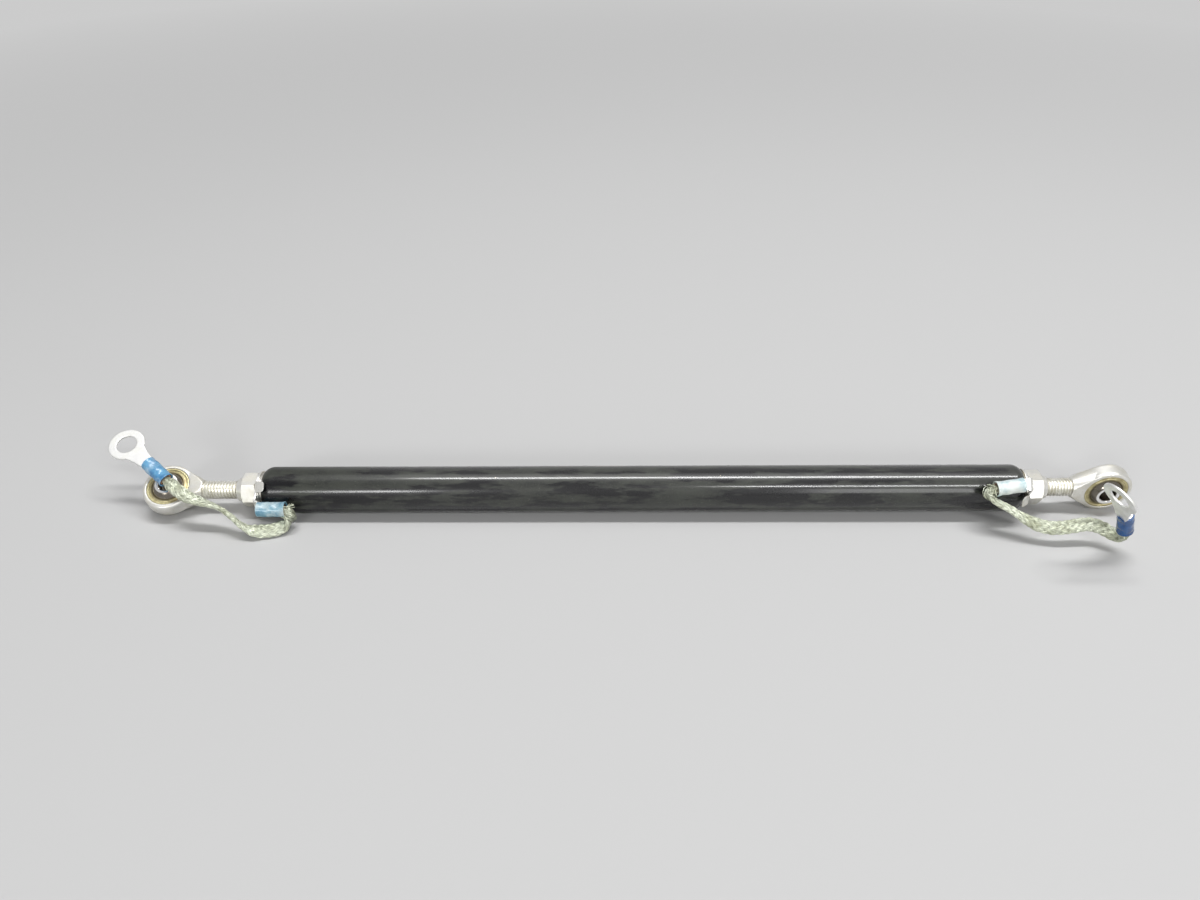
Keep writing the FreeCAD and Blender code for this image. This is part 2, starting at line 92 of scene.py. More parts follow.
# %% Shared sizes
TUBE_RADIUS = 7.5 * MM
TUBE_LENGTH = 246.3 * MM
TUBE_START = 31.3 * MM
NUT_THICKNESS = 4.9 * MM
RING_STOCK = 0.8 * MM
SLEEVE_LENGTH = 9.0 * MM
SLEEVE_RADIUS = 2.37 * MM
BARREL_RADIUS = 1.95 * MM
TERMINAL_GAP = 0.3 * MM
STANDOFF = TUBE_RADIUS + SLEEVE_RADIUS + TERMINAL_GAP
TONGUE_BEND = 1.0 * MM
EYE_TO_EYE = 305.3 * MM
GRIP_DEPTH = 4.5 * MM
THREAD_RADIUS = 3.0 * MM
THREAD_ROOT = 2.39 * MM
THREAD_PITCH = 1.0 * MM

ENDS = {
    "left": {
        "eye_x": 0.0, "inwards": 1, "eye_to_nut": 24.6 * MM, "eye_clock": 22.0, "nut_clock": 38.0,
        "terminal_clock": 91.0, "terminal_skew": 0.0, "tongue": 0.3 * MM,
    },
    "right": {
        "eye_x": EYE_TO_EYE, "inwards": -1, "eye_to_nut": 21.5 * MM, "eye_clock": 98.0,
        "nut_clock": 32.0, "terminal_clock": 47.0, "terminal_skew": -8.0, "tongue": 2.6 * MM,
    },
}
LOOSE = {
    "left": {
        "wire_end": Vector((1.9, -4.2, 7.1)) * MM, "along": Vector((-0.762, 0.534, 0.396)),
        "face": Vector((-0.12, -0.28, 0.95)), "bend": 10.0,
    },
    "right": {
        "wire_end": Vector((301.6, -23.6, 1.4)) * MM, "along": Vector((-0.35, -0.28, 0.885)),
        "face": Vector((0.80, 0.38, 0.47)), "bend": 6.0,
    },
}


def radial(clock):
    """Unit vector away from the rod's axis at a clock angle in degrees."""
    turn = math.radians(clock)
    return Vector((0, -math.sin(turn), math.cos(turn)))


def local_frame(origin, along, up):
    """Matrix with local X on along, and local Z as near to up as it can be."""
    x_axis = along.normalized()
    y_axis = up.cross(x_axis).normalized()
    z_axis = x_axis.cross(y_axis)
    matrix = Matrix((x_axis, y_axis, z_axis)).transposed().to_4x4()
    matrix.translation = origin
    return matrix


def clamped_frame(side):
    """Frame of the terminal under a nut: its origin is the wire end, its X runs to the ring."""
    end = ENDS[side]
    out = radial(end["terminal_clock"])
    reach = end["eye_to_nut"] + NUT_THICKNESS + RING_STOCK / 2 + TONGUE_BEND
    bend_start = Vector((end["eye_x"] + end["inwards"] * reach, 0, 0))
    along = Matrix.Rotation(math.radians(-end["terminal_skew"]), 3, out) @ Vector((-end["inwards"], 0, 0))
    origin = bend_start + out * STANDOFF - along * (SLEEVE_LENGTH + end["tongue"])
    return local_frame(origin, along, out)


def end_matrix(side):
    """Places a piece that was made as for the left end. The right end is turned about Z."""
    end = ENDS[side]
    turn = 0 if end["inwards"] > 0 else math.pi
    return Matrix.Translation((end["eye_x"], 0, 0)) @ Matrix.Rotation(turn, 4, "Z")


def loose_frame(side):
    """Frame of a strap's loose terminal."""
    loose = LOOSE[side]
    return local_frame(loose["wire_end"], loose["along"], loose["face"])


for side in ENDS:
    print(side, "clamped wire end in mm", [round(x / MM, 2) for x in clamped_frame(side).translation])

# %% [markdown]
# ## The bonding straps' routes
# Each strap is a flat braid. It is tightly folded where it leaves the clamped terminal and runs in easy
# curves to the loose one. A smooth NURBS line through a few chosen points gives the route, and a list of
# directions says which way the flat braid's width points along it, because a flat braid twists.

# %% Strap routes
ROUTES = {
    "left": [
        (41.4, -10.8, -2.8), (40.0, -12.6, -4.8), (37.0, -14.1, -5.4), (33.8, -14.9, -5.4),
        (30.4, -15.2, -4.9), (26.9, -14.5, -3.5), (24.0, -13.0, -1.5), (20.9, -11.2, 0.3),
        (17.0, -10.3, 1.8), (13.1, -10.0, 3.1), (9.0, -9.2, 4.4),
    ],
    "right": [
        (263.3, -10.0, 4.5), (265.2, -11.9, 3.3), (269.2, -13.0, 1.8), (273.8, -15.2, -0.6),
        (278.6, -17.4, -2.2), (283.4, -18.6, -2.2), (288.2, -18.5, -1.5), (292.4, -17.9, -0.9),
        (296.0, -18.4, -1.2), (298.7, -19.7, -2.1), (301.4, -21.7, -3.0),
    ],
}
WIDTH_WAYS = {
    "left": [
        (0.00, (0.0, 0.95, -0.1)), (0.14, (0.1, 0.95, 0.1)), (0.22, (-0.3, 0.60, 0.74)),
        (0.29, (0.0, 0.62, 0.78)), (0.345, (0.25, 0.93, 0.20)), (0.40, (0.1, 0.85, -0.50)),
        (0.46, (-0.05, 0.72, -0.69)), (0.57, (-0.10, 0.68, -0.72)), (0.63, (0.01, 0.84, -0.51)),
        (0.70, (0.19, 0.99, -0.10)), (0.78, (0.50, 0.94, 0.18)), (0.86, (0.65, 0.77, 0.28)),
        (1.00, (0.65, 0.67, 0.36)),
    ],
    "right": [
        (0.00, (0.0, 0.90, -0.4)), (0.14, (0.1, 0.90, -0.35)), (0.20, (0.29, 0.93, -0.22)),
        (0.31, (0.33, 0.93, -0.12)), (0.37, (0.40, 0.90, 0.15)), (0.42, (0.40, 0.72, 0.58)),
        (0.50, (0.09, 0.60, 0.79)), (0.62, (-0.12, 0.67, 0.73)), (0.70, (0.11, 0.59, 0.80)),
        (0.80, (0.47, 0.65, 0.58)), (0.90, (0.3, 0.85, 0.35)), (1.00, (0.3, 0.90, 0.20)),
    ],
}
LEAVE = 1.0 * MM
ARRIVE = 3.0 * MM


def route_points(side):
    """The route from inside the clamped terminal to inside the loose one."""
    clamped, loose = clamped_frame(side), loose_frame(side)
    run = [Vector(p) * MM for p in ROUTES[side]]
    start = [clamped @ Vector((GRIP_DEPTH, 0, 0)), clamped @ Vector((-LEAVE, 0, 0))]
    stop = [loose @ Vector((-ARRIVE, 0, 0)), loose @ Vector((GRIP_DEPTH, 0, 0))]
    return start + run + stop


def smooth_line(points):
    """Points along the NURBS line of a route."""
    data = bpy.data.curves.new("route", "CURVE")
    data.dimensions = "3D"
    data.resolution_u = 24
    spline = data.splines.new("NURBS")
    spline.points.add(len(points) - 1)
    for at, point in zip(spline.points, points):
        at.co = (*point, 1.0)
    spline.order_u = 3
    spline.use_endpoint_u = True
    carrier = bpy.data.objects.new("route", data)
    mesh = bpy.data.meshes.new_from_object(carrier)
    line = [v.co.copy() for v in mesh.vertices]
    bpy.data.objects.remove(carrier)
    bpy.data.curves.remove(data)
    bpy.data.meshes.remove(mesh)
    return line


def line_length(line):
    """Length of a row of points."""
    return sum((b - a).length for a, b in zip(line, line[1:]))


strap_lines = {side: smooth_line(route_points(side)) for side in ENDS}
for side, line in strap_lines.items():
    print(side, "strap", round(line_length(line) / MM, 1), "mm in", len(line), "points")

# %% [markdown]
# ## Walking along a route
# To weave wires round a line, each step needs a place, a direction, and the two directions of the
# braid's width and thickness. Equal steps keep the weave even.

# %% Stations along a strap
STEP = 0.45 * MM


def blended(ways, share):
    """Direction at a share of the length, between the listed ones."""
    for (low, a), (high, b) in zip(ways, ways[1:]):
        if share <= high:
            t = (share - low) / (high - low)
            t = t * t * (3 - 2 * t)
            return Vector(a).lerp(Vector(b), max(0.0, min(1.0, t)))
    return Vector(ways[-1][1])


def stations(line, ways):
    """(place, width direction, thickness direction, distance) at equal steps along a line."""
    total = line_length(line)
    count = int(total / STEP)
    found = []
    index, passed = 0, 0.0
    for k in range(count + 1):
        want = total * k / count
        while index < len(line) - 2 and passed + (line[index + 1] - line[index]).length < want:
            passed += (line[index + 1] - line[index]).length
            index += 1
        here, ahead = line[index], line[index + 1]
        t = (want - passed) / max((ahead - here).length, 1e-9)
        before, after = line[max(index - 2, 0)], line[min(index + 3, len(line) - 1)]
        along = (after - before).normalized()
        width = blended(ways, want / total)
        width = (width - along * width.dot(along)).normalized()
        found.append((here.lerp(ahead, t), width, along.cross(width), want))
    return found, total


strap_stations = {side: stations(strap_lines[side], WIDTH_WAYS[side]) for side in ENDS}
print("steps", {side: len(found[0]) for side, found in strap_stations.items()})

# %% [markdown]
# ## Weaving a flat braid
# A flat braid is a tubular braid pressed flat. Eight bundles of four wires run round it one way and
# eight the other way, each over two and under two. Each wire is a thin curve, so the weave is real
# geometry. Inside the terminals the braid is gathered to a round bundle. This braid is old and bent: its
# bundles drift, they bulge in front of the terminals, and a few wires stand out in loose loops.

# %% Braid pattern
BUNDLES = 8
WIRES = 4
WIRE_RADIUS = 0.14 * MM
WIRE_PITCH = 0.27 * MM
LAY_LENGTH = 18.5 * MM
LEAST_LEAN = 0.3
WEAVE_HEIGHT = 0.16 * MM
BUNDLE_DRIFT, BUNDLE_WAVE = 0.014, 0.16
WIRE_DRIFT, WIRE_WAVE = 0.14 * MM, 0.45
LOOSE_SHARE = 0.16
LOOSE_LIFTS = (0.5 * MM, 1.3 * MM)
LOOSE_AT, LOOSE_SPREAD = 2.6 * MM, 1.7 * MM
FLAT_HALF_WIDTH = 1.95 * MM
FLAT_HALF_THICKNESS = 0.46 * MM
GATHERED_RADIUS = 1.05 * MM
MOUTH_DEPTH = 4.8 * MM
GATHER_LENGTH = 5.5 * MM
BULGE_HEIGHT = 0.42 * MM
BULGE_AT, BULGE_SPREAD = 2.0 * MM, 1.3 * MM
SLACKS = (0.1, 1.6)


def eased(t):
    """Smooth step from 0 to 1."""
    t = max(0.0, min(1.0, t))
    return t * t * (3 - 2 * t)


def swell(x, middle, spread):
    """Bell curve: 1 at the middle, almost 0 at two spreads away."""
    return math.exp(-((x - middle) / spread) ** 2)


def braid_section(distance, total):
    """Half width and half thickness of the braid, gathered towards both terminals."""
    from_mouth = min(distance, total - distance) - MOUTH_DEPTH
    flat = eased(from_mouth / GATHER_LENGTH)
    half_width = GATHERED_RADIUS + (FLAT_HALF_WIDTH - GATHERED_RADIUS) * flat
    return half_width, GATHERED_RADIUS + (FLAT_HALF_THICKNESS - GATHERED_RADIUS) * flat


def round_oval(share, half_width, half_thickness):
    """Point and outward direction at a share of the way round a flat oval with round edges."""
    flat = 2 * (half_width - half_thickness)
    arc = math.pi * half_thickness
    far = (share % 1.0) * 2 * (flat + arc)
    side = 1
    if far >= flat + arc:
        far -= flat + arc
        side = -1
    if far < flat:
        return (side * (flat / 2 - far), side * half_thickness), (0.0, side * 1.0)
    turn = (far - flat) / max(half_thickness, 1e-9)
    out = (-side * math.sin(turn), side * math.cos(turn))
    return (-side * flat / 2 + out[0] * half_thickness, out[1] * half_thickness), out


def wire_path(found, total, bundle, way, wire, slack, rng):
    """(point, height) along one wire: its bundle circles the braid and weaves over and under."""
    seed, bundle_seed = rng.random() * 100, 10 * bundle + 200 * way
    loop = rng.uniform(*LOOSE_LIFTS) if rng.random() < LOOSE_SHARE else 0.0
    points = []
    for place, width, thick, distance in found:
        half_width, half_thickness = braid_section(distance, total)
        around = 4 * (half_width - half_thickness) + 2 * math.pi * half_thickness
        turns = distance / LAY_LENGTH
        lean = math.cos(math.atan2(around, LAY_LENGTH))
        across = (wire - (WIRES - 1) / 2) * WIRE_PITCH / around / max(lean, LEAST_LEAN)
        across *= min(1.0, around / (2 * math.pi * GATHERED_RADIUS))
        wander = noise.noise(Vector((distance / MM * BUNDLE_WAVE, bundle_seed, 0))) * BUNDLE_DRIFT
        share = bundle / BUNDLES + way * turns + across + wander
        crossing = 2 * turns * BUNDLES
        phase = (crossing + 2 * bundle) if way > 0 else (2 * bundle - crossing)
        over = way * math.cos(math.pi / 2 * phase - math.pi / 4)
        (a, b), (na, nb) = round_oval(share, half_width, half_thickness)
        stray = noise.noise(Vector((distance / MM * WIRE_WAVE, seed, 0))) * WIRE_DRIFT
        from_mouth = min(distance, total - distance) - MOUTH_DEPTH
        bulge = swell(from_mouth, BULGE_AT, BULGE_SPREAD) * BULGE_HEIGHT * slack
        loosened = swell(distance - MOUTH_DEPTH, LOOSE_AT, LOOSE_SPREAD) * loop
        lift = WEAVE_HEIGHT * over + stray + bulge + loosened
        point = place + width * (a + na * lift) + thick * (b + nb * lift)
        points.append((point, over))
    return points


print("one braid has", 2 * BUNDLES * WIRES, "wires")

# %% [markdown]
# ## From paths to a mesh
# Many thin tubes are quickest as one curve object with a round bevel. Turned into a mesh, the curve gives
# each wire the same number of points round, so a tone can be written on every point. The tone also carries
# painted shade: a wire is darker where it dives under its neighbours. No two wires look quite alike.

# %% Wires to mesh
STRAY_WIRES = 12
STRAY_STEPS = 9
STRAY_REACHES = (1.6 * MM, 3.4 * MM)
STRAY_SPREADS = (0.5 * MM, 1.5 * MM)
STRAY_SWAY = 0.96 * MM
STRAY_ROOT = 0.6 * MM
STRAY_RADIUS = 1.0 * MM
WIRE_TONES = (0.55, 1.0)
UNDER_SHADE = 0.65


def stray_wire(frame_matrix, way, rng):
    """A broken wire that springs out of a terminal's mouth."""
    turn = rng.uniform(0, 2 * math.pi)
    out = Vector((0, math.cos(turn), math.sin(turn)))
    sway = Vector((0, -math.sin(turn), math.cos(turn))) * rng.uniform(-STRAY_SWAY, STRAY_SWAY)
    reach = rng.uniform(*STRAY_REACHES)
    spread = rng.uniform(*STRAY_SPREADS)
    points = []
    for k in range(STRAY_STEPS):
        t = k / (STRAY_STEPS - 1)
        x = way * (STRAY_ROOT - t * reach)
        point = Vector((x, 0, 0)) + out * (STRAY_RADIUS + spread * t * t) + sway * (t * t)
        points.append((frame_matrix @ point, 1.0))
    return points


def braid_mesh(side):
    """Mesh of all the wires of one strap, with a tone for each wire and painted shade where it dives under
    others.
    """
    rng = random.Random(side)
    found, total = strap_stations[side]
    paths = []
    for way in (1, -1):
        for bundle in range(BUNDLES):
            slack = rng.uniform(*SLACKS)
            for wire in range(WIRES):
                paths.append(wire_path(found, total, bundle, way, wire, slack, rng))
    for matrix in (clamped_frame(side), loose_frame(side)):
        paths += [stray_wire(matrix, 1, rng) for _ in range(STRAY_WIRES)]
    data = bpy.data.curves.new("wires", "CURVE")
    data.dimensions = "3D"
    data.bevel_depth = WIRE_RADIUS
    data.bevel_resolution = 1
    for path in paths:
        spline = data.splines.new("POLY")
        spline.points.add(len(path) - 1)
        for at, (point, _) in zip(spline.points, path):
            at.co = (*point, 1.0)
    carrier = bpy.data.objects.new("wires", data)
    mesh = bpy.data.meshes.new_from_object(carrier)
    bpy.data.objects.remove(carrier)
    around = len(mesh.vertices) // sum(len(path) for path in paths)
    tone_and_shade = mesh.attributes.new("tone_and_shade", "FLOAT", "POINT")
    values = []
    for path in paths:
        own = rng.uniform(*WIRE_TONES)
        for _, height in path:
            # Painted shade: a wire is darker where it dives under its neighbours.
            values += [own * (1 - UNDER_SHADE * (1 - height) / 2)] * around
    tone_and_shade.data.foreach_set("value", values)
    return mesh


strap_meshes = {side: braid_mesh(side) for side in ENDS}
print("wire faces", {side: len(mesh.polygons) for side, mesh in strap_meshes.items()})

# %% [markdown]
# ## Effects that several finishes share
# Old metal and paint share a few effects: soft patches where the tone changes, fine grain, and small
# specks of dust. Each effect is one node group with named inputs, so a finish only sets its own values.

# %% Node groups
def new_group(name, inputs, outputs):
    """Empty node group with named float or vector sockets."""
    tree = bpy.data.node_groups.new(name, "ShaderNodeTree")
    for label, kind, value in inputs:
        socket = tree.interface.new_socket(name=label, in_out="INPUT", socket_type=kind)
        if kind == "NodeSocketFloat":
            socket.default_value = value
    for label in outputs:
        tree.interface.new_socket(name=label, in_out="OUTPUT", socket_type="NodeSocketFloat")
    return tree, tree.nodes.new("NodeGroupInput"), tree.nodes.new("NodeGroupOutput")


def ramped(tree, source, low, high):
    """Map Range node from low..high to 0..1, where low and high may be sockets."""
    node = tree.nodes.new("ShaderNodeMapRange")
    node.interpolation_type = "SMOOTHSTEP"
    tree.links.new(source, node.inputs["Value"])
    tree.links.new(low, node.inputs["From Min"])
    tree.links.new(high, node.inputs["From Max"])
    return node.outputs["Result"]


def patches_group():
    """Soft patches: fractal noise between two thresholds."""
    tree, into, out = new_group(
        "patches",
        [("Vector", "NodeSocketVector", None), ("Scale", "NodeSocketFloat", 200.0),
         ("Low", "NodeSocketFloat", 0.4), ("High", "NodeSocketFloat", 0.6)],
        ["Mask"])
    field = tree.nodes.new("ShaderNodeTexNoise")
    field.inputs["Detail"].default_value = 6.0
    field.inputs["Roughness"].default_value = 0.62
    tree.links.new(into.outputs["Vector"], field.inputs["Vector"])
    tree.links.new(into.outputs["Scale"], field.inputs["Scale"])
    mask = ramped(tree, field.outputs["Fac"], into.outputs["Low"], into.outputs["High"])
    tree.links.new(mask, out.inputs["Mask"])
    return tree


def specks_group():
    """Small round specks: cells of a Voronoi pattern nearer than a radius."""
    tree, into, out = new_group(
        "specks",
        [("Vector", "NodeSocketVector", None), ("Scale", "NodeSocketFloat", 900.0),
         ("Radius", "NodeSocketFloat", 0.12), ("Edge", "NodeSocketFloat", 0.18)],
        ["Mask"])
    cells = tree.nodes.new("ShaderNodeTexVoronoi")
    tree.links.new(into.outputs["Vector"], cells.inputs["Vector"])
    tree.links.new(into.outputs["Scale"], cells.inputs["Scale"])
    mask = ramped(tree, cells.outputs["Distance"], into.outputs["Edge"], into.outputs["Radius"])
    tree.links.new(mask, out.inputs["Mask"])
    return tree


PATCHES = patches_group()
SPECKS = specks_group()
print("node groups:", [group.name for group in (PATCHES, SPECKS)])

# %% [markdown]
# ## A small kit for finishes
# Each finish starts from a Principled shader.

# %% Finish kit
class Finish:
    """A material under construction: its node tree, shader and object coordinates."""

    def __init__(self, name, roughness, metallic=0.0):
        self.material = bpy.data.materials.new(name)
        self.material.use_nodes = True
        self.tree = self.material.node_tree
        self.shader = self.tree.nodes["Principled BSDF"]
        self.shader.inputs["Metallic"].default_value = metallic
        self.shader.inputs["Roughness"].default_value = roughness
        self.place = self.tree.nodes.new("ShaderNodeTexCoord").outputs["Object"]

    def stretched(self, scale):
        """Object coordinates scaled differently along the axes."""
        node = self.tree.nodes.new("ShaderNodeMapping")
        node.inputs["Scale"].default_value = scale
        self.tree.links.new(self.place, node.inputs["Vector"])
        return node.outputs["Vector"]

    def group(self, group, vector=None, **values):
        """A shared effect with its own values. Returns its mask."""
        node = self.tree.nodes.new("ShaderNodeGroup")
        node.node_tree = group
        self.tree.links.new(vector or self.place, node.inputs["Vector"])
        for label, value in values.items():
            node.inputs[label].default_value = value
        return node.outputs["Mask"]

    def mixed(self, mask, first, second):
        """Colour between two colours, each a tuple or a socket, by a mask."""
        node = self.tree.nodes.new("ShaderNodeMix")
        node.data_type = "RGBA"
        self.tree.links.new(mask, node.inputs["Factor"])
        for label, colour in (("A", first), ("B", second)):
            socket = next(s for s in node.inputs if s.name == label and s.type == "RGBA")
            if isinstance(colour, tuple):
                socket.default_value = (*colour, 1.0)
            else:
                self.tree.links.new(colour, socket)
        return next(s for s in node.outputs if s.type == "RGBA")

    def ranged(self, value, low, high, start=0.0, stop=1.0):
        """A value mapped from start..stop to low..high, and held there outside."""
        node = self.tree.nodes.new("ShaderNodeMapRange")
        for label, number in (("From Min", start), ("From Max", stop), ("To Min", low), ("To Max", high)):
            node.inputs[label].default_value = number
        self.tree.links.new(value, node.inputs["Value"])
        return node.outputs["Result"]

    def worked(self, operation, first, second):
        """Arithmetic on a value and a number or another value."""
        node = self.tree.nodes.new("ShaderNodeMath")
        node.operation = operation
        self.tree.links.new(first, node.inputs[0])
        if isinstance(second, float):
            node.inputs[1].default_value = second
        else:
            self.tree.links.new(second, node.inputs[1])
        return node.outputs["Value"]

    def along_rod(self):
        """Distance along the rod in metres."""
        node = self.tree.nodes.new("ShaderNodeSeparateXYZ")
        self.tree.links.new(self.place, node.inputs["Vector"])
        return node.outputs["X"]

    def attribute(self, name):
        """A value that was written on the mesh's points."""
        node = self.tree.nodes.new("ShaderNodeAttribute")
        node.attribute_name = name
        return node.outputs["Fac"]

    def colour(self, socket):
        self.tree.links.new(socket, self.shader.inputs["Base Color"])

    def roughness(self, socket):
        self.tree.links.new(socket, self.shader.inputs["Roughness"])

    def bump(self, height, distance, strength=1.0):
        """Bump from a height. A second call stacks on the first."""
        node = self.tree.nodes.new("ShaderNodeBump")
        node.inputs["Distance"].default_value = distance
        node.inputs["Strength"].default_value = strength
        self.tree.links.new(height, node.inputs["Height"])
        normal = self.shader.inputs["Normal"]
        if normal.is_linked:
            self.tree.links.new(normal.links[0].from_socket, node.inputs["Normal"])
        self.tree.links.new(node.outputs["Normal"], normal)


print("the finish kit is ready")

# %% [markdown]
# ## Black paint
# The tube is enamelled gloss black under a thin greenish-grey haze of dust. The haze has been rubbed off in
# long patches, where the clean paint is darker and glossier. The left part is duller than the right.
# Chips show the pale primer, at the rims most of all. One long scratch lies near the top.

# %% Black paint
PAINT_MIDDLE = TUBE_START + TUBE_LENGTH / 2
BARE_RIM = 0.4 * MM
RAGGED, RIM_BLEND = 0.35 * MM, 0.1 * MM
DULL_FROM, DULL_TO = 84 * MM, 40 * MM
SCRATCH = {"near": 138 * MM, "far": 149.4 * MM, "y": 3.4 * MM, "z": 6.68 * MM, "half": 0.13 * MM}
SCRATCH_ENTERS, SCRATCH_LEAVES = 0.5 * MM, 3 * MM
PAINT = {
    "under_haze": (0.008, 0.009, 0.008), "haze": (0.034, 0.037, 0.030), "grain": (0.042, 0.046, 0.036),
    "dust": (0.20, 0.21, 0.17), "rubbed": (0.002, 0.002, 0.003), "primer": (0.56, 0.50, 0.38),
}


def scratch_mask(finish):
    """1 on the long scratch: near one line along the rod, and between two ends."""
    flat = finish.tree.nodes.new("ShaderNodeVectorMath")
    flat.operation = "MULTIPLY"
    flat.inputs[1].default_value = (0, 1, 1)
    finish.tree.links.new(finish.place, flat.inputs[0])
    away = finish.tree.nodes.new("ShaderNodeVectorMath")
    away.operation = "DISTANCE"
    away.inputs[1].default_value = (0, SCRATCH["y"], SCRATCH["z"])
    finish.tree.links.new(flat.outputs["Vector"], away.inputs[0])
    line = finish.ranged(away.outputs["Value"], 1.0, 0.0, SCRATCH["half"], 2 * SCRATCH["half"])
    x = finish.along_rod()
    enters = finish.ranged(x, 0.0, 1.0, SCRATCH["near"], SCRATCH["near"] + SCRATCH_ENTERS)
    leaves = finish.ranged(x, 1.0, 0.0, SCRATCH["far"] - SCRATCH_LEAVES, SCRATCH["far"])
    return finish.worked("MULTIPLY", finish.worked("MULTIPLY", line, enters), leaves)


def black_paint():
    """Gloss black under haze, grain and dust, with rubbed patches, chips, bare rims and a scratch."""
    finish = Finish("black_paint", 0.3)
    haze = finish.group(PATCHES, finish.stretched((0.4, 1, 1)), Scale=260.0, Low=0.30, High=0.72)
    rubbed = finish.group(PATCHES, finish.stretched((0.22, 1, 1)), Scale=210.0, Low=0.47, High=0.56)
    grain = finish.group(PATCHES, Scale=2600.0, Low=0.35, High=0.70)
    chips = finish.group(SPECKS, Scale=150.0, Radius=0.02, Edge=0.045)
    dust = finish.group(SPECKS, Scale=900.0, Radius=0.04, Edge=0.16)
    dusty = finish.mixed(haze, PAINT["under_haze"], PAINT["haze"])
    grainy = finish.mixed(finish.worked("MULTIPLY", grain, 0.6), dusty, PAINT["grain"])
    speckled = finish.mixed(finish.worked("MULTIPLY", dust, 0.35), grainy, PAINT["dust"])
    painted = finish.mixed(rubbed, speckled, PAINT["rubbed"])
    from_middle = finish.worked("SUBTRACT", finish.along_rod(), PAINT_MIDDLE)
    reach = finish.worked("ABSOLUTE", from_middle, 0.0)
    ragged = finish.worked("ADD", reach, finish.worked("MULTIPLY", haze, RAGGED))
    rim_at = TUBE_LENGTH / 2 - BARE_RIM + RAGGED
    rim = finish.ranged(ragged, 0.0, 1.0, rim_at, rim_at + RIM_BLEND)
    bare = finish.worked("MAXIMUM", finish.worked("MAXIMUM", chips, rim), scratch_mask(finish))
    finish.colour(finish.mixed(bare, painted, PAINT["primer"]))
    veil = finish.ranged(finish.worked("MAXIMUM", haze, grain), 0.38, 0.48)
    clean = finish.worked("MULTIPLY", rubbed, 0.16)
    worn = finish.worked("SUBTRACT", veil, clean)
    finish.roughness(finish.worked("ADD", worn, finish.worked("MULTIPLY", bare, 0.1)))
    shine = finish.ranged(finish.along_rod(), 0.85, 0.12, DULL_FROM, DULL_TO)
    finish.tree.links.new(shine, finish.shader.inputs["Coat Weight"])
    finish.bump(grain, 0.003 * MM)
    finish.bump(finish.worked("MULTIPLY", bare, -1.0), 0.04 * MM)
    finish.shader.inputs["Specular IOR Level"].default_value = 0.3
    finish.shader.inputs["Coat Roughness"].default_value = 0.13
    return finish.material


FINISHES = {"black_paint": black_paint()}
print("the paint is duller up to", round(DULL_FROM / MM), "mm")

# %% [markdown]
# ## The metals
# The rod ends, nuts and washers are plated steel, bright but cloudy. The race is bronze, browned with
# use. The ball is polished. The terminals are tinned copper, with a soft, milky shine. One recipe makes them
# all: two colours in patches, a fine grain, small dark pits, and roughness that follows the patches. The
# ball's sphere and bore and the race's seat get painted shade from a value on their points.

# %% Metals
def cloudy_metal(name, bright, dull, smooth, rough, scale, grain_depth, painted_shade=None):
    """Metal with patches of a duller tone, pits, a fine grain, and painted shade where its points carry it.
    """
    finish = Finish(name, smooth, metallic=1.0)
    cloud = finish.group(PATCHES, Scale=scale, Low=0.36, High=0.66)
    fine = finish.group(PATCHES, Scale=2600.0, Low=0.3, High=0.8)
    pits = finish.group(SPECKS, Scale=scale * 5, Radius=0.02, Edge=0.12)
    base = finish.mixed(cloud, bright, dull)
    metal = finish.mixed(pits, base, tuple(0.5 * x for x in dull))
    # Painted shade: marked points take the dark colour given for it.
    if painted_shade:
        metal = finish.mixed(finish.attribute("painted_shade"), metal, painted_shade)
    finish.colour(metal)
    finish.roughness(finish.ranged(cloud, smooth, rough))
    finish.bump(fine, grain_depth)
    return finish.material


def braid_metal():
    """Tinned wires with tones of their own and painted shade under crossings, greener and darker in dirty
    patches.
    """
    finish = Finish("tinned_braid", 0.42, metallic=0.65)
    tone_and_shade = finish.attribute("tone_and_shade")
    dirt = finish.group(PATCHES, Scale=260.0, Low=0.42, High=0.66)
    # A low value is partly painted shade under neighbouring wires, so that end is near black.
    clean = finish.mixed(tone_and_shade, (0.14, 0.15, 0.10), (0.86, 0.90, 0.75))
    soiled = finish.mixed(tone_and_shade, (0.06, 0.06, 0.035), (0.62, 0.65, 0.49))
    finish.colour(finish.mixed(dirt, clean, soiled))
    finish.roughness(finish.ranged(dirt, 0.36, 0.52))
    return finish.material


METALS = {
    "plated_steel": ((0.86, 0.85, 0.81), (0.72, 0.70, 0.63), 0.32, 0.48, 240.0, 0.010 * MM),
    "thread_steel": ((0.93, 0.92, 0.86), (0.76, 0.74, 0.66), 0.36, 0.50, 300.0, 0.004 * MM),
    "bare_steel": ((0.62, 0.61, 0.59), (0.46, 0.45, 0.42), 0.30, 0.46, 220.0, 0.010 * MM),
    # The last colour of the next two entries is painted shade for the race's seat and the ball's sphere and
    # bore.
    "bearing_bronze": ((0.66, 0.60, 0.36), (0.42, 0.36, 0.20), 0.34, 0.52, 420.0, 0.014 * MM,
                       (0.10, 0.08, 0.05)),
    "polished_steel": ((0.93, 0.93, 0.92), (0.78, 0.77, 0.76), 0.12, 0.26, 260.0, 0.004 * MM,
                       (0.20, 0.18, 0.15)),
    "tinned_copper": ((0.90, 0.90, 0.89), (0.74, 0.74, 0.71), 0.34, 0.48, 260.0, 0.004 * MM),
    "bare_copper": ((0.80, 0.46, 0.32), (0.50, 0.27, 0.17), 0.28, 0.45, 300.0, 0.010 * MM),
}
FINISHES["tinned_braid"] = braid_metal()
FINISHES.update({name: cloudy_metal(name, *values) for name, values in METALS.items()})
print("metals:", sorted(METALS))
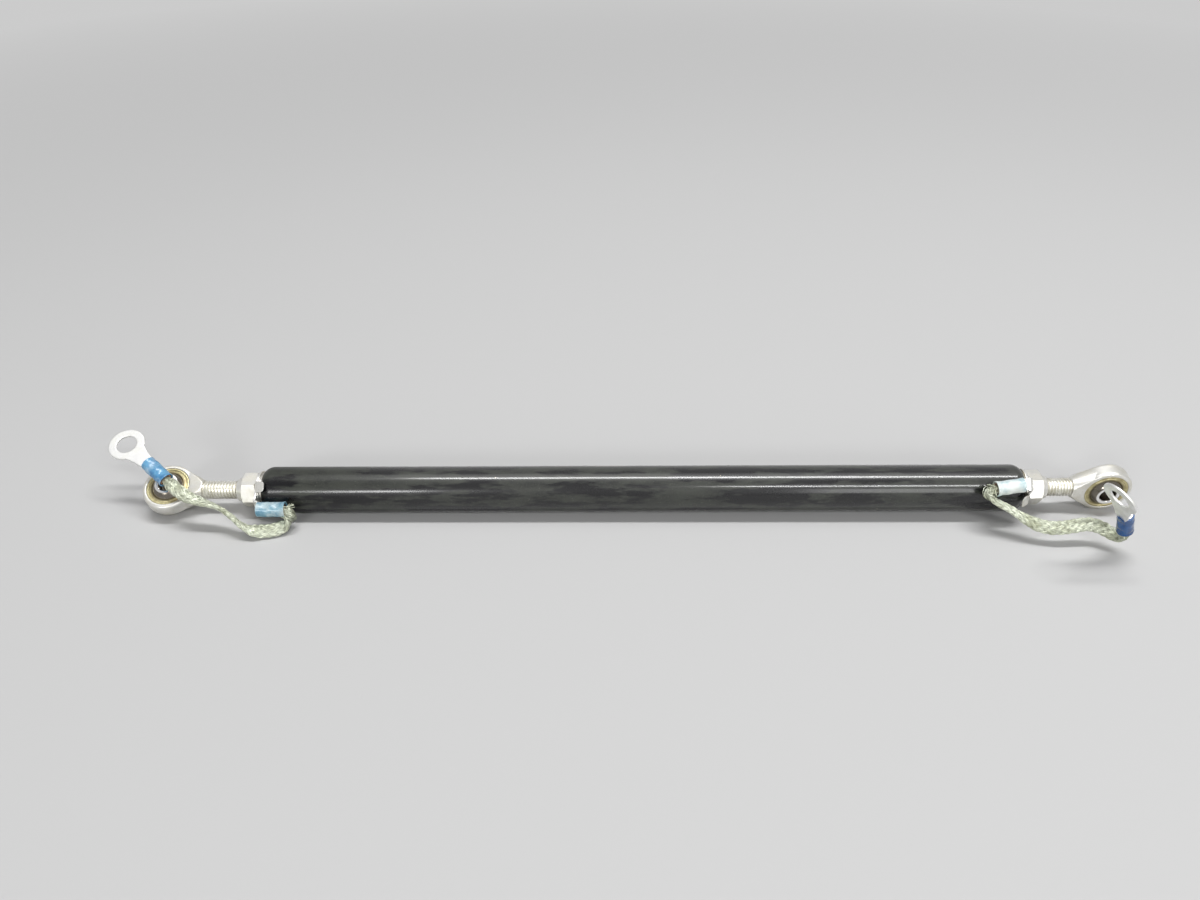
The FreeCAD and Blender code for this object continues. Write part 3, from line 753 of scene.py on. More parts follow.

# %% [markdown]
# ## Blue terminal sleeves
# The insulating sleeves are blue nylon. Three have aged differently: one is a clear mid blue, one a faded
# grey-blue, one nearly white with dust. The fourth, the right loose one, is deep blue with painted shade, far
# darker than the rest. Dust is a pale film in patches, and crimping has left the surface slightly uneven.

# %% Blue sleeves
def blue_nylon(name, deep, pale, dust, low, high):
    """Nylon between two blues, under a film of dust that starts at low and is whole at high."""
    finish = Finish(name, 0.35)
    cloud = finish.group(PATCHES, Scale=330.0, Low=0.35, High=0.65)
    film = finish.group(PATCHES, Scale=190.0, Low=low, High=high)
    fine = finish.group(PATCHES, Scale=1500.0, Low=0.3, High=0.8)
    base = finish.mixed(cloud, deep, pale)
    finish.colour(finish.mixed(film, base, dust))
    finish.roughness(finish.ranged(film, 0.24, 0.50))
    finish.bump(fine, 0.012 * MM)
    finish.shader.inputs["Coat Weight"].default_value = 0.3
    finish.shader.inputs["Coat Roughness"].default_value = 0.2
    return finish.material


NYLONS = {
    "blue_sleeve": ((0.045, 0.19, 0.40), (0.13, 0.36, 0.58), (0.38, 0.54, 0.66), 0.48, 0.72),
    "faded_sleeve": ((0.09, 0.25, 0.36), (0.26, 0.44, 0.52), (0.56, 0.66, 0.68), 0.42, 0.66),
    "dusty_sleeve": ((0.34, 0.52, 0.58), (0.52, 0.66, 0.68), (0.80, 0.85, 0.82), 0.32, 0.58),
    # Painted shade: a darkened copy of the blue, for the right loose sleeve.
    "shaded_sleeve": ((0.004, 0.05, 0.18), (0.010, 0.09, 0.28), (0.06, 0.18, 0.34), 0.55, 0.85),
}
FINISHES.update({name: blue_nylon(name, *values) for name, values in NYLONS.items()})
print("finishes:", sorted(FINISHES))

# %% [markdown]
# ## Fitting a piece into the frame
# Every new piece is finished the same way. It gets its finish, rides on the body that the CAD piece
# belongs to, and takes over the CAD node that it stands for, which is hidden.

# %% Settle a piece
FLAT_ANGLE = math.radians(38)
WELD = 0.0005 * MM


def settle(name, mesh, finish, body, node):
    """Make an object of a mesh that is already in place, and join it to the frame."""
    mesh.materials.clear()
    mesh.materials.append(FINISHES[finish])
    piece = added(name, mesh)
    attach(piece, body)
    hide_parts(node)
    return piece


def closed_mesh(bm, name):
    """Mesh of a bmesh, with doubles merged and faces pointed outwards."""
    bmesh.ops.remove_doubles(bm, verts=bm.verts, dist=WELD)
    bmesh.ops.recalc_face_normals(bm, faces=bm.faces)
    mesh = bpy.data.meshes.new(name)
    bm.to_mesh(mesh)
    bm.free()
    return mesh


def to_mesh(bm, name, matrix=None):
    """Closed mesh in its place, shaded smooth with its sharp edges kept."""
    mesh = closed_mesh(bm, name)
    if matrix is not None:
        mesh.transform(matrix)
    mesh.shade_smooth()
    mesh.set_sharp_from_angle(angle=FLAT_ANGLE)
    return mesh


print("edges past", round(math.degrees(FLAT_ANGLE)), "degrees stay sharp")

# %% [markdown]
# ## Turning on a lathe
# Most of the rod was turned, so most pieces start as an outline that is spun about an axis. Real turned
# edges are never razor sharp. The outline's corners are rounded before it is spun, and every edge then
# catches a line of light.

# %% Lathe
ROUND_STEPS = 4
LONGEST_TRIM = 0.45
LEAST_TRIM = 0.002 * MM
X_TO_Z = Matrix.Rotation(-math.pi / 2, 4, "Y")


def rounded(corners, radius):
    """Outline with its corners rounded. A corner is (x, r), or (x, r, own radius)."""
    points = []
    count = len(corners)
    for k, corner in enumerate(corners):
        own = corner[2] if len(corner) > 2 else radius
        here = Vector(corner[:2])
        before, after = Vector(corners[k - 1][:2]), Vector(corners[(k + 1) % count][:2])
        trim = min(own, LONGEST_TRIM * (before - here).length, LONGEST_TRIM * (after - here).length)
        if trim < LEAST_TRIM:
            points.append(here)
            continue
        start = here + (before - here).normalized() * trim
        stop = here + (after - here).normalized() * trim
        for step in range(ROUND_STEPS + 1):
            t = step / ROUND_STEPS
            points.append(start * (1 - t) ** 2 + here * (2 * t * (1 - t)) + stop * t * t)
    return points


def lathe(outline, steps):
    """Closed outline of (x, radius) points spun about the X axis."""
    bm = bmesh.new()
    verts = [bm.verts.new((p[0], 0, p[1])) for p in outline]
    edges = [bm.edges.new((a, b)) for a, b in zip(verts, verts[1:] + verts[:1])]
    bmesh.ops.spin(bm, geom=verts + edges, cent=(0, 0, 0), axis=(1, 0, 0), dvec=(0, 0, 0),
                   angle=2 * math.pi, steps=steps, use_merge=True)
    return bm


print("a rounded corner takes", ROUND_STEPS + 1, "points")

# %% [markdown]
# ## The tube
# The tube's ends are swaged in to a rounded shoulder. An arc through three known points gives the same
# shoulder as the CAD outline, outside and inside.

# %% Tube
TUBE_STEPS = 160
TUBE_WALL = 1.2 * MM
SHOULDER_LENGTH = 3.2 * MM
SHOULDER_DROP = 1.9 * MM
SHOULDER_STEPS = 10


def shoulder(radius):
    """Quarter of the outline: from the tube's end face out to its full radius."""
    arc = (SHOULDER_LENGTH ** 2 + SHOULDER_DROP ** 2) / (2 * SHOULDER_DROP)
    whole = math.asin(SHOULDER_LENGTH / arc)
    points = []
    for k in range(SHOULDER_STEPS + 1):
        turn = whole * (1 - k / SHOULDER_STEPS)
        points.append(Vector((SHOULDER_LENGTH - arc * math.sin(turn),
                              radius - arc * (1 - math.cos(turn)))))
    return points


def tube_outline():
    """Outer skin from left to right, then the inner skin back again."""
    outer, inner = shoulder(TUBE_RADIUS), shoulder(TUBE_RADIUS - TUBE_WALL)
    flip = [Vector((TUBE_LENGTH - p.x, p.y)) for p in reversed(outer)]
    back = [Vector((TUBE_LENGTH - p.x, p.y)) for p in inner]
    return outer + flip + back + list(reversed(inner))


tube_bm = lathe(tube_outline(), TUBE_STEPS)
tube_mesh = to_mesh(tube_bm, "tube_skin", Matrix.Translation((TUBE_START, 0, 0)))
tube_piece = settle("painted_tube", tube_mesh, "black_paint", "rod", "tube")
print("tube faces", len(tube_mesh.polygons))

# %% [markdown]
# ## Ball and race
# The ball is a sphere cut flat on two sides and bored through. The race is a bronze ring whose inside
# has the same sphere. Its face has a fine staking groove. Both are turned about the bolt's axis, so the
# lathe's X is that axis here.

# %% Ball and race
BALL_RADIUS = 5.56 * MM
BALL_HALF_WIDTH = 4.2 * MM
BORE_RADIUS = 2.5 * MM
BORE_CHAMFER = 0.3 * MM
LIP_WIDTH, LIP_DEPTH = 0.12 * MM, 0.05 * MM
RACE_RADIUS = 6.75 * MM
RACE_HALF_WIDTH = 2.5 * MM
BALL_PLAY = 0.03 * MM
RACE_EDGE = 0.12 * MM
GROOVE_RADIUS = 5.95 * MM
GROOVE_HALF_WIDTH = 0.2 * MM
GROOVE_DEPTH = 0.22 * MM
BALL_SHADE_DEPTH = 0.02 * MM
RACE_SHADE_RADIUS = 5.2 * MM
ARC_STEPS = 20
BALL_STEPS = 128


def sphere_arc(radius, half_width):
    """Outline points of a sphere between two flats, from -X to +X."""
    edge = math.asin(half_width / radius)
    turns = [edge * (2 * k / ARC_STEPS - 1) for k in range(ARC_STEPS + 1)]
    return [Vector((radius * math.sin(t), radius * math.cos(t))) for t in turns]


def ball_outline():
    """Sphere, then the right face with its chamfered bore, back to the left face."""
    h, chamfer = BALL_HALF_WIDTH, BORE_CHAMFER
    lip = math.sqrt(BALL_RADIUS ** 2 - h ** 2) - LIP_WIDTH
    inner = [(h, lip), (h, BORE_RADIUS + chamfer), (h - chamfer, BORE_RADIUS),
             (-h + chamfer, BORE_RADIUS), (-h, BORE_RADIUS + chamfer), (-h, lip)]
    return sphere_arc(BALL_RADIUS, h - LIP_DEPTH) + [Vector(p) for p in inner]


def race_outline():
    """Spherical seat, then the faces and the rim. Each face has a staking groove."""
    h = RACE_HALF_WIDTH
    groove = [(h, GROOVE_RADIUS - GROOVE_HALF_WIDTH), (h - GROOVE_DEPTH, GROOVE_RADIUS),
              (h, GROOVE_RADIUS + GROOVE_HALF_WIDTH)]
    rim = rounded(groove + [(h, RACE_RADIUS), (-h, RACE_RADIUS)]
                  + [(-x, r) for x, r in reversed(groove)], RACE_EDGE)
    return sphere_arc(BALL_RADIUS + BALL_PLAY, h) + rim


def with_painted_shade(mesh, test):
    """Write a painted-shade value on each point that a test picks."""
    painted_shade = mesh.attributes.new("painted_shade", "FLOAT", "POINT")
    painted_shade.data.foreach_set("value", [1.0 if test(v.co) else 0.0 for v in mesh.vertices])
    return mesh


def eye_matrix(side):
    """Places a piece whose lathe axis is the bolt's axis, in the eye of one side."""
    end = ENDS[side]
    bore = radial(end["eye_clock"])
    return local_frame(Vector((end["eye_x"], 0, 0)), bore, Vector((end["inwards"], 0, 0)))


# The ball's sphere and bore, and the race's seat near the ball, get painted shade.
def on_ball(co):
    """True on the ball's sphere and in its bore."""
    in_bore = math.hypot(co.y, co.z) < BORE_RADIUS + BALL_SHADE_DEPTH
    return in_bore or co.length > BALL_RADIUS - BALL_SHADE_DEPTH


def on_seat(co):
    """True near the race's seat."""
    return math.hypot(co.y, co.z) < RACE_SHADE_RADIUS


for side in ENDS:
    place = eye_matrix(side)
    ball_mesh = with_painted_shade(to_mesh(lathe(ball_outline(), BALL_STEPS), side + "_ball_mesh"), on_ball)
    ball_mesh.transform(place)
    settle(side + "_polished_ball", ball_mesh, "polished_steel", side + "_ball", side + "_ball")
    race_mesh = with_painted_shade(to_mesh(lathe(race_outline(), BALL_STEPS), side + "_race_mesh"), on_seat)
    race_mesh.transform(place)
    settle(side + "_bronze_race", race_mesh, "bearing_bronze", "rod", side + "_race")
print("ball width", round(2 * BALL_HALF_WIDTH / MM, 2), "mm in a race of", round(2 * RACE_HALF_WIDTH / MM, 2))

# %% [markdown]
# ## The eye
# The eye was forged and machined: a thick ring that runs out into a round neck. Booleans join the ring
# and the neck and bore the seat. The shapes are cut a little long or thin, because a boolean can go wrong
# where two of them share a face. A fine voxel remesh and a little smoothing then melt the joint into the
# soft fillet of a forging.

# %% Eye
HEAD_RADIUS = 8.2 * MM
HEAD_HALF_WIDTH = 2.6 * MM
NECK_LENGTH = 11.3 * MM
NECK_RADIUS = 3.15 * MM
NECK_FLAT = 6.0 * MM
SEAT_RADIUS = RACE_RADIUS + 0.02 * MM
HEAD_EDGE = 0.95 * MM
HEAD_VOXEL = 0.16 * MM
HEAD_SMOOTH = 5
WEB_INSET = 0.02 * MM
SLAB_SPARE = 1.0 * MM
HEAD_STEPS = 160
NECK_STEPS = 96


def temporary(bm, name):
    """A hidden helper object for a boolean."""
    return added(name, closed_mesh(bm, name))


def combined(base, steps, voxel, smooth):
    """Mesh of base after booleans with (operation, helper), a remesh and smoothing. Helpers go."""
    for operation, helper in steps:
        cut = base.modifiers.new("cut", "BOOLEAN")
        cut.operation = operation
        cut.object = helper
        cut.solver = "EXACT"
    melt = base.modifiers.new("melt", "REMESH")
    melt.mode = "VOXEL"
    melt.voxel_size = voxel
    soften = base.modifiers.new("soften", "SMOOTH")
    soften.factor = 0.5
    soften.iterations = smooth
    bpy.context.view_layer.update()
    evaluated = base.evaluated_get(bpy.context.evaluated_depsgraph_get())
    mesh = bpy.data.meshes.new_from_object(evaluated)
    for helper in [base] + [h for _, h in steps]:
        bpy.data.objects.remove(helper)
    return mesh


def extruded_polygon(corners, depth_vector):
    """Prism of a flat polygon."""
    bm = bmesh.new()
    face = bm.faces.new([bm.verts.new(c) for c in corners])
    grown = bmesh.ops.extrude_face_region(bm, geom=[face])
    moved = [v for v in grown["geom"] if isinstance(v, bmesh.types.BMVert)]
    bmesh.ops.translate(bm, vec=depth_vector, verts=moved)
    return bm


def eye_mesh(side):
    """Ring and neck in one, in the frame's place. Local Z is the bolt's axis, X runs to the shank."""
    reach = math.hypot(NECK_LENGTH, NECK_RADIUS)
    lean = math.asin(HEAD_RADIUS / reach) - math.atan2(NECK_RADIUS, NECK_LENGTH)
    meet = (HEAD_RADIUS * math.sin(lean), HEAD_RADIUS * math.cos(lean))
    neck = lathe([(0, 0), (0, meet[1]), meet, (NECK_LENGTH, NECK_RADIUS), (NECK_LENGTH, 0)], NECK_STEPS)
    h = HEAD_HALF_WIDTH
    web, wide, far = h - WEB_INSET, HEAD_RADIUS + SLAB_SPARE, NECK_LENGTH + SLAB_SPARE
    profile = [(-SLAB_SPARE, web), (NECK_FLAT, web), (NECK_LENGTH, NECK_RADIUS), (far, NECK_RADIUS)]
    slab = extruded_polygon([(x, -wide, -z) for x, z in profile]
                            + [(x, -wide, z) for x, z in reversed(profile)], (0, 2 * wide, 0))
    disc = lathe(rounded([(-h, 0, 0), (-h, HEAD_RADIUS), (h, HEAD_RADIUS), (h, 0, 0)], HEAD_EDGE),
                 HEAD_STEPS)
    seat = lathe([(-2 * h, 0), (-2 * h, SEAT_RADIUS), (2 * h, SEAT_RADIUS), (2 * h, 0)], HEAD_STEPS)
    for turned in (disc, seat):
        bmesh.ops.transform(turned, matrix=X_TO_Z, verts=turned.verts)
    steps = [("INTERSECT", temporary(slab, "slab")), ("UNION", temporary(disc, "disc")),
             ("DIFFERENCE", temporary(seat, "seat"))]
    mesh = combined(temporary(neck, "neck"), steps, HEAD_VOXEL, HEAD_SMOOTH)
    end = ENDS[side]
    along = Vector((end["inwards"], 0, 0))
    mesh.transform(local_frame(Vector((end["eye_x"], 0, 0)), along, radial(end["eye_clock"])))
    mesh.shade_smooth()
    return mesh


for side in ENDS:
    mesh = eye_mesh(side)
    settle(side + "_eye", mesh, "plated_steel", "rod", side + "_rod_end_body")
    print(side, "eye faces", len(mesh.polygons))

# %% [markdown]
# ## The threaded shank
# A real thread is a helix. Spinning the outline of one tooth while it moves one pitch per turn makes it.
# The spin tool does both at once: its dvec is the step along the axis.

# %% Shank
TOOTH_STEPS = 28
CREST_SHARE = 0.14
ROOT_SHARE = 0.24
SHANK_STOP = 18.0 * MM
THREAD_WELD = 0.002 * MM


def shank_mesh(side):
    """Helical thread from inside the neck to its end inside the tube."""
    end = ENDS[side]
    start = NECK_LENGTH - THREAD_PITCH
    stop = end["eye_to_nut"] + NUT_THICKNESS + SHANK_STOP
    turns = int((stop - start) / THREAD_PITCH)
    flank = THREAD_PITCH * (1 - CREST_SHARE - ROOT_SHARE) / 2
    crest = THREAD_PITCH * CREST_SHARE
    tooth = [(0, THREAD_ROOT), (THREAD_PITCH * ROOT_SHARE, THREAD_ROOT),
             (THREAD_PITCH * ROOT_SHARE + flank, THREAD_RADIUS),
             (THREAD_PITCH * ROOT_SHARE + flank + crest, THREAD_RADIUS), (THREAD_PITCH, THREAD_ROOT)]
    bm = bmesh.new()
    verts = [bm.verts.new((start + x, 0, r)) for x, r in tooth]
    edges = [bm.edges.new(pair) for pair in zip(verts, verts[1:])]
    bmesh.ops.spin(bm, geom=verts + edges, cent=(0, 0, 0), axis=(1, 0, 0),
                   dvec=(THREAD_PITCH / TOOTH_STEPS, 0, 0), angle=2 * math.pi * turns,
                   steps=TOOTH_STEPS * turns)
    bmesh.ops.remove_doubles(bm, verts=bm.verts, dist=THREAD_WELD)
    bmesh.ops.holes_fill(bm, edges=[e for e in bm.edges if e.is_boundary], sides=0)
    return to_mesh(bm, side + "_shank_mesh", end_matrix(side))


for side in ENDS:
    mesh = shank_mesh(side)
    settle(side + "_threaded_shank", mesh, "thread_steel", "rod", side + "_rod_end_body")
    print(side, "shank faces", len(mesh.polygons))

# %% [markdown]
# ## The jam nut
# The nut is made as in a workshop. A blank with its collar, cones and bore is turned on the lathe, and six
# flats are then cut off its rim, each with one plane. A narrow bevel rounds every edge, and the flats
# keep their crisp look.

# %% Jam nut
NUT_ACROSS_FLATS = 10.0 * MM
NUT_FACE_RADIUS = 4.85 * MM
NUT_CHAMFER = math.radians(30)
COLLAR_LENGTH = 1.9 * MM
COLLAR_RADIUS = 4.1 * MM
COLLAR_TIP = 3.6 * MM
NUT_EDGE = 0.14 * MM
NUT_EDGE_ANGLE = 24
NUT_STEPS = 96
PLANE_TOLERANCE = 0.001 * MM


def nut_mesh(side):
    """Hexagon nut in the frame's place: a turned blank with six flats cut off its rim."""
    end = ENDS[side]
    start, stop = end["eye_to_nut"], end["eye_to_nut"] + NUT_THICKNESS
    corner = NUT_ACROSS_FLATS / 2 / math.cos(math.pi / 6)
    depth = (corner - NUT_FACE_RADIUS) * math.tan(NUT_CHAMFER)
    tip = start - COLLAR_LENGTH
    rim = corner + NUT_EDGE
    bm = lathe([(tip, THREAD_RADIUS), (tip, COLLAR_TIP), (start, COLLAR_RADIUS), (start, NUT_FACE_RADIUS),
                (start + depth, rim), (stop - depth, rim), (stop, NUT_FACE_RADIUS),
                (stop, THREAD_RADIUS)], NUT_STEPS)
    for k in range(6):
        out = radial(end["nut_clock"] * end["inwards"] + 30 + 60 * k)
        bmesh.ops.bisect_plane(bm, geom=bm.verts[:] + bm.edges[:] + bm.faces[:], dist=PLANE_TOLERANCE,
                               plane_co=out * NUT_ACROSS_FLATS / 2, plane_no=out, clear_outer=True)
        bmesh.ops.holes_fill(bm, edges=[e for e in bm.edges if e.is_boundary], sides=0)
    return to_mesh(bm, side + "_nut_mesh", end_matrix(side))


def edge_bevel(piece, width, angle):
    """Live bevel that rounds the sharp edges of a piece."""
    soft = piece.modifiers.new("edges", "BEVEL")
    soft.width = width
    soft.segments = 3
    soft.limit_method = "ANGLE"
    soft.angle_limit = math.radians(angle)
    soft.harden_normals = True


for side in ENDS:
    nut = settle(side + "_nut", nut_mesh(side), "plated_steel", "rod", side + "_jam_nut")
    edge_bevel(nut, NUT_EDGE, NUT_EDGE_ANGLE)
    reach = max(math.hypot(v.co.y, v.co.z) for v in nut.data.vertices)
    print(side, "nut faces", len(nut.data.polygons), "across corners", round(2 * reach / MM, 2), "mm")

# %% [markdown]
# ## The tab washer
# The washer is a thin disc with one tab, bent over the tube's shoulder so that it can't turn. The tab is
# made as it would be in the shop: a flat strip pushed out, turned about the bend, and pushed on.

# %% Tab washer
WASHER_RADIUS = 6.2 * MM
WASHER_THICKNESS = 0.4 * MM
WASHER_HOLE = THREAD_RADIUS + 0.05 * MM
WASHER_CORNER = 0.12 * MM
WASHER_EDGE = 0.08 * MM
WASHER_EDGE_ANGLE = 40
WASHER_STEPS = 96
TAB_WIDTH = 3.6 * MM
TAB_ROOT = 0.8 * WASHER_RADIUS
TAB_BEND_RADIUS = 0.4 * MM
TAB_GAP = 0.3 * MM
TAB_TIP_RADIUS = 1.2 * MM
BEND_STEPS = 8
TABS = {
    "left": {"clock": 46.0, "bend": 76.0, "reach": 2.4 * MM},
    "right": {"clock": 85.0, "bend": 52.0, "reach": 3.0 * MM},
}


def push(bm, face, vector):
    """Extrude one face along a vector and return the moved face."""
    grown = bmesh.ops.extrude_face_region(bm, geom=[face])["geom"]
    bmesh.ops.translate(bm, vec=vector, verts=[v for v in grown if isinstance(v, bmesh.types.BMVert)])
    bmesh.ops.delete(bm, geom=[face], context="FACES_ONLY")
    return next(f for f in grown if isinstance(f, bmesh.types.BMFace))


def bent_strip(before, after, bend, inner_radius, thickness, width, tip_radius=0.0):
    """Strip that starts along +X, bends towards -Z and runs on. Its middle starts at the origin."""
    bm = bmesh.new()
    half, rise = width / 2, thickness / 2
    corners = [(0, -half, -rise), (0, half, -rise), (0, half, rise), (0, -half, rise)]
    face = bm.faces.new([bm.verts.new(c) for c in corners])
    back = bmesh.ops.duplicate(bm, geom=[face])
    face = push(bm, face, (before, 0, 0))
    turn = math.radians(bend)
    pivot = (before, 0, -inner_radius - rise)
    grown = bmesh.ops.spin(bm, geom=[face], cent=pivot, axis=(0, 1, 0), dvec=(0, 0, 0), angle=turn,
                           steps=BEND_STEPS)["geom_last"]
    bmesh.ops.delete(bm, geom=[face], context="FACES_ONLY")
    face = next(f for f in grown if isinstance(f, bmesh.types.BMFace))
    along = Vector((math.cos(turn), 0, -math.sin(turn)))
    tip = push(bm, face, along * after)
    if tip_radius:
        across = [e for e in tip.edges if abs((e.verts[0].co - e.verts[1].co).y) < thickness / 2]
        bmesh.ops.bevel(bm, geom=across, offset=tip_radius, offset_type="OFFSET", segments=6, profile=0.5,
                        affect="EDGES", clamp_overlap=True, material=-1)
    bmesh.ops.remove_doubles(bm, verts=bm.verts, dist=WELD)
    middle = inner_radius + rise
    bend_end = Vector((before + middle * math.sin(turn), 0, -middle * (1 - math.cos(turn))))
    return bm, bend_end, along


def joined(parts):
    """One bmesh out of several."""
    whole = parts[0]
    for part in parts[1:]:
        spare = bpy.data.meshes.new("spare")
        part.to_mesh(spare)
        part.free()
        whole.from_mesh(spare)
        bpy.data.meshes.remove(spare)
    return whole


def washer_mesh(side):
    """Washer and tab in the frame's place."""
    end, tab = ENDS[side], TABS[side]
    near = end["eye_to_nut"] + NUT_THICKNESS + RING_STOCK
    far = near + WASHER_THICKNESS
    disc = lathe(rounded([(near, WASHER_HOLE), (near, WASHER_RADIUS), (far, WASHER_RADIUS),
                          (far, WASHER_HOLE)], WASHER_CORNER), WASHER_STEPS)
    rise = TUBE_RADIUS + TAB_GAP - TAB_BEND_RADIUS - WASHER_THICKNESS / 2
    strip, _, _ = bent_strip(rise - TAB_ROOT, tab["reach"], tab["bend"], TAB_BEND_RADIUS,
                             WASHER_THICKNESS, TAB_WIDTH, TAB_TIP_RADIUS)
    out = radial(tab["clock"] * end["inwards"])
    middle = Vector(((near + far) / 2, 0, 0))
    bmesh.ops.transform(strip, matrix=local_frame(middle + out * TAB_ROOT, out, Vector((-1, 0, 0))),
                        verts=strip.verts)
    return to_mesh(joined([disc, strip]), side + "_washer_mesh", end_matrix(side))


for side in ENDS:
    washer = settle(side + "_washer", washer_mesh(side), "plated_steel", "rod", side + "_tab_washer")
    edge_bevel(washer, WASHER_EDGE, WASHER_EDGE_ANGLE)
    print(side, "washer faces", len(washer.data.polygons))

# %% [markdown]
# ## Terminal metal
# A ring terminal is stamped from tinned copper strip. The ring, the tongue and the rolled barrel are
# built separately, and a voxel remesh welds them with soft, stamped edges.

# %% Terminal metal
RING_RADIUS = 5.8 * MM
RING_HOLE = 3.2 * MM
TONGUE_WIDTH = 4.3 * MM
TONGUE_ROOT = 1.4 * MM
TONGUE_BEND_INNER = 0.6 * MM
LOOSE_TONGUE = 0.8 * MM
ROOT_NARROWING = 0.5
BARREL_LENGTH = 5.4 * MM
BARREL_PEEK = 0.25 * MM
BARREL_EDGE = 0.15 * MM
BARREL_STEPS = 64
CRIMP_BORE = 1.23 * MM
RING_EDGE = 0.2 * MM
RING_STEPS = 96
NECK_ANGLE = math.radians(38)
NECK_WAIST = 2.15
NECK_OVERLAP = 0.4 * MM
TERMINAL_REACH = 21.0 * MM
STAMP_VOXEL = 0.13 * MM
STAMP_SMOOTH = 3


def ring_and_neck(flat):
    """Flat ring round the origin, with a neck that narrows to the tongue's width at -X."""
    half, wide = RING_STOCK / 2, TONGUE_WIDTH / 2
    plate = lathe(rounded([(-half, RING_HOLE), (-half, RING_RADIUS), (half, RING_RADIUS),
                           (half, RING_HOLE)], RING_EDGE), RING_STEPS)
    bmesh.ops.transform(plate, matrix=X_TO_Z, verts=plate.verts)
    meet_x = RING_RADIUS * math.cos(NECK_ANGLE)
    meet_y = RING_RADIUS * math.sin(NECK_ANGLE)
    inner = RING_HOLE + NECK_OVERLAP
    edge = [(flat, wide), ((flat + meet_x) / 2, (wide + meet_y) / NECK_WAIST), (meet_x, meet_y),
            (math.sqrt(inner ** 2 - wide ** 2), wide)]
    outline = [(-x, -y) for x, y in edge] + [(-inner, 0)] + [(-x, y) for x, y in reversed(edge)]
    neck = extruded_polygon([(x, y, -half) for x, y in outline], (0, 0, RING_STOCK))
    return joined([plate, neck])


def terminal_metal(bend, tongue, flat, skew):
    """Ring, tongue and barrel: wire end at the origin, barrel along X, ring towards -Z."""
    front = SLEEVE_LENGTH
    back, mouth = front - BARREL_LENGTH, front + BARREL_PEEK
    barrel = lathe(rounded([(back, CRIMP_BORE), (back, BARREL_RADIUS), (mouth, BARREL_RADIUS),
                            (mouth, CRIMP_BORE)], BARREL_EDGE), BARREL_STEPS)
    strip, bend_end, along = bent_strip(TONGUE_ROOT + tongue, flat / 2, bend, TONGUE_BEND_INNER,
                                        RING_STOCK, TONGUE_WIDTH)
    shift = Vector((front - TONGUE_ROOT, 0, -(BARREL_RADIUS - RING_STOCK / 2)))
    bmesh.ops.translate(strip, vec=shift, verts=strip.verts)
    root = [v for v in strip.verts if v.co.x < front - TONGUE_ROOT / 2]
    bmesh.ops.scale(strip, vec=(1, ROOT_NARROWING, 1), verts=root)
    plate = ring_and_neck(flat)
    turn = math.radians(bend)
    up = Vector((math.sin(turn), 0, math.cos(turn)))
    centre = bend_end + shift + along * flat
    bmesh.ops.transform(plate, matrix=local_frame(centre, along, up), verts=plate.verts)
    tongue_and_ring = joined([strip, plate])
    pivot = Vector((front + tongue, 0, 0))
    bmesh.ops.rotate(tongue_and_ring, cent=pivot, matrix=Matrix.Rotation(math.radians(skew), 3, "Z"),
                     verts=tongue_and_ring.verts)
    whole = joined([barrel, tongue_and_ring])
    return combined(temporary(whole, "stamping"), [], STAMP_VOXEL, STAMP_SMOOTH)


def terminal_pieces(side):
    """Both terminals of one strap, placed in the frame."""
    end, loose = ENDS[side], LOOSE[side]
    clamped_flat = STANDOFF - (BARREL_RADIUS - RING_STOCK / 2) - TONGUE_BEND
    turn = math.radians(loose["bend"])
    loose_flat = TERMINAL_REACH - SLEEVE_LENGTH - LOOSE_TONGUE - TONGUE_BEND * math.sin(turn)
    clamped_mesh = terminal_metal(90.0, end["tongue"], clamped_flat, end["terminal_skew"])
    clamped_mesh.transform(clamped_frame(side))
    loose_mesh = terminal_metal(loose["bend"], LOOSE_TONGUE, loose_flat, 0.0)
    loose_mesh.transform(loose_frame(side))
    made = []
    for kind, mesh in (("clamped", clamped_mesh), ("free", loose_mesh)):
        mesh.shade_smooth()
        node = side + "_" + kind + "_terminal"
        made.append(settle(node + "_stamping", mesh, "tinned_copper", "rod", node))
    return made


stampings = {side: terminal_pieces(side) for side in ENDS}
print("stamping faces", [len(p.data.polygons) for pair in stampings.values() for p in pair])

# %% [markdown]
# ## Sleeves with crimp marks
# The blue sleeve is a thin tube with soft ends. The crimping tool squeezed it twice, once on the wire
# barrel and once on the braid, so it is dented there and a little oval. The dents are moved into the
# mesh point by point, because a bump alone wouldn't show at the outline.

# %% Sleeves
SLEEVE_WALL = 0.4 * MM
SLEEVE_EDGE = 0.16 * MM
SLEEVE_RINGS = 30
SLEEVE_STEPS = 72
CRIMPS = [(2.3 * MM, 0.9 * MM, 0.13), (6.2 * MM, 1.3 * MM, 0.17)]
CRIMP_SHARPNESS = 1.5
CRIMP_SWELL = 0.35
LEAST_RADIUS = 0.86 * BARREL_RADIUS
LUMP_HEIGHT = 0.05 * MM
BELL_LENGTH = 1.3 * MM
BELL_FLARE = 0.18 * MM
# The right loose sleeve takes the blue with painted shade.
SLEEVE_FINISH = {("left", "clamped"): "faded_sleeve", ("left", "free"): "blue_sleeve",
                 ("right", "clamped"): "dusty_sleeve", ("right", "free"): "shaded_sleeve"}


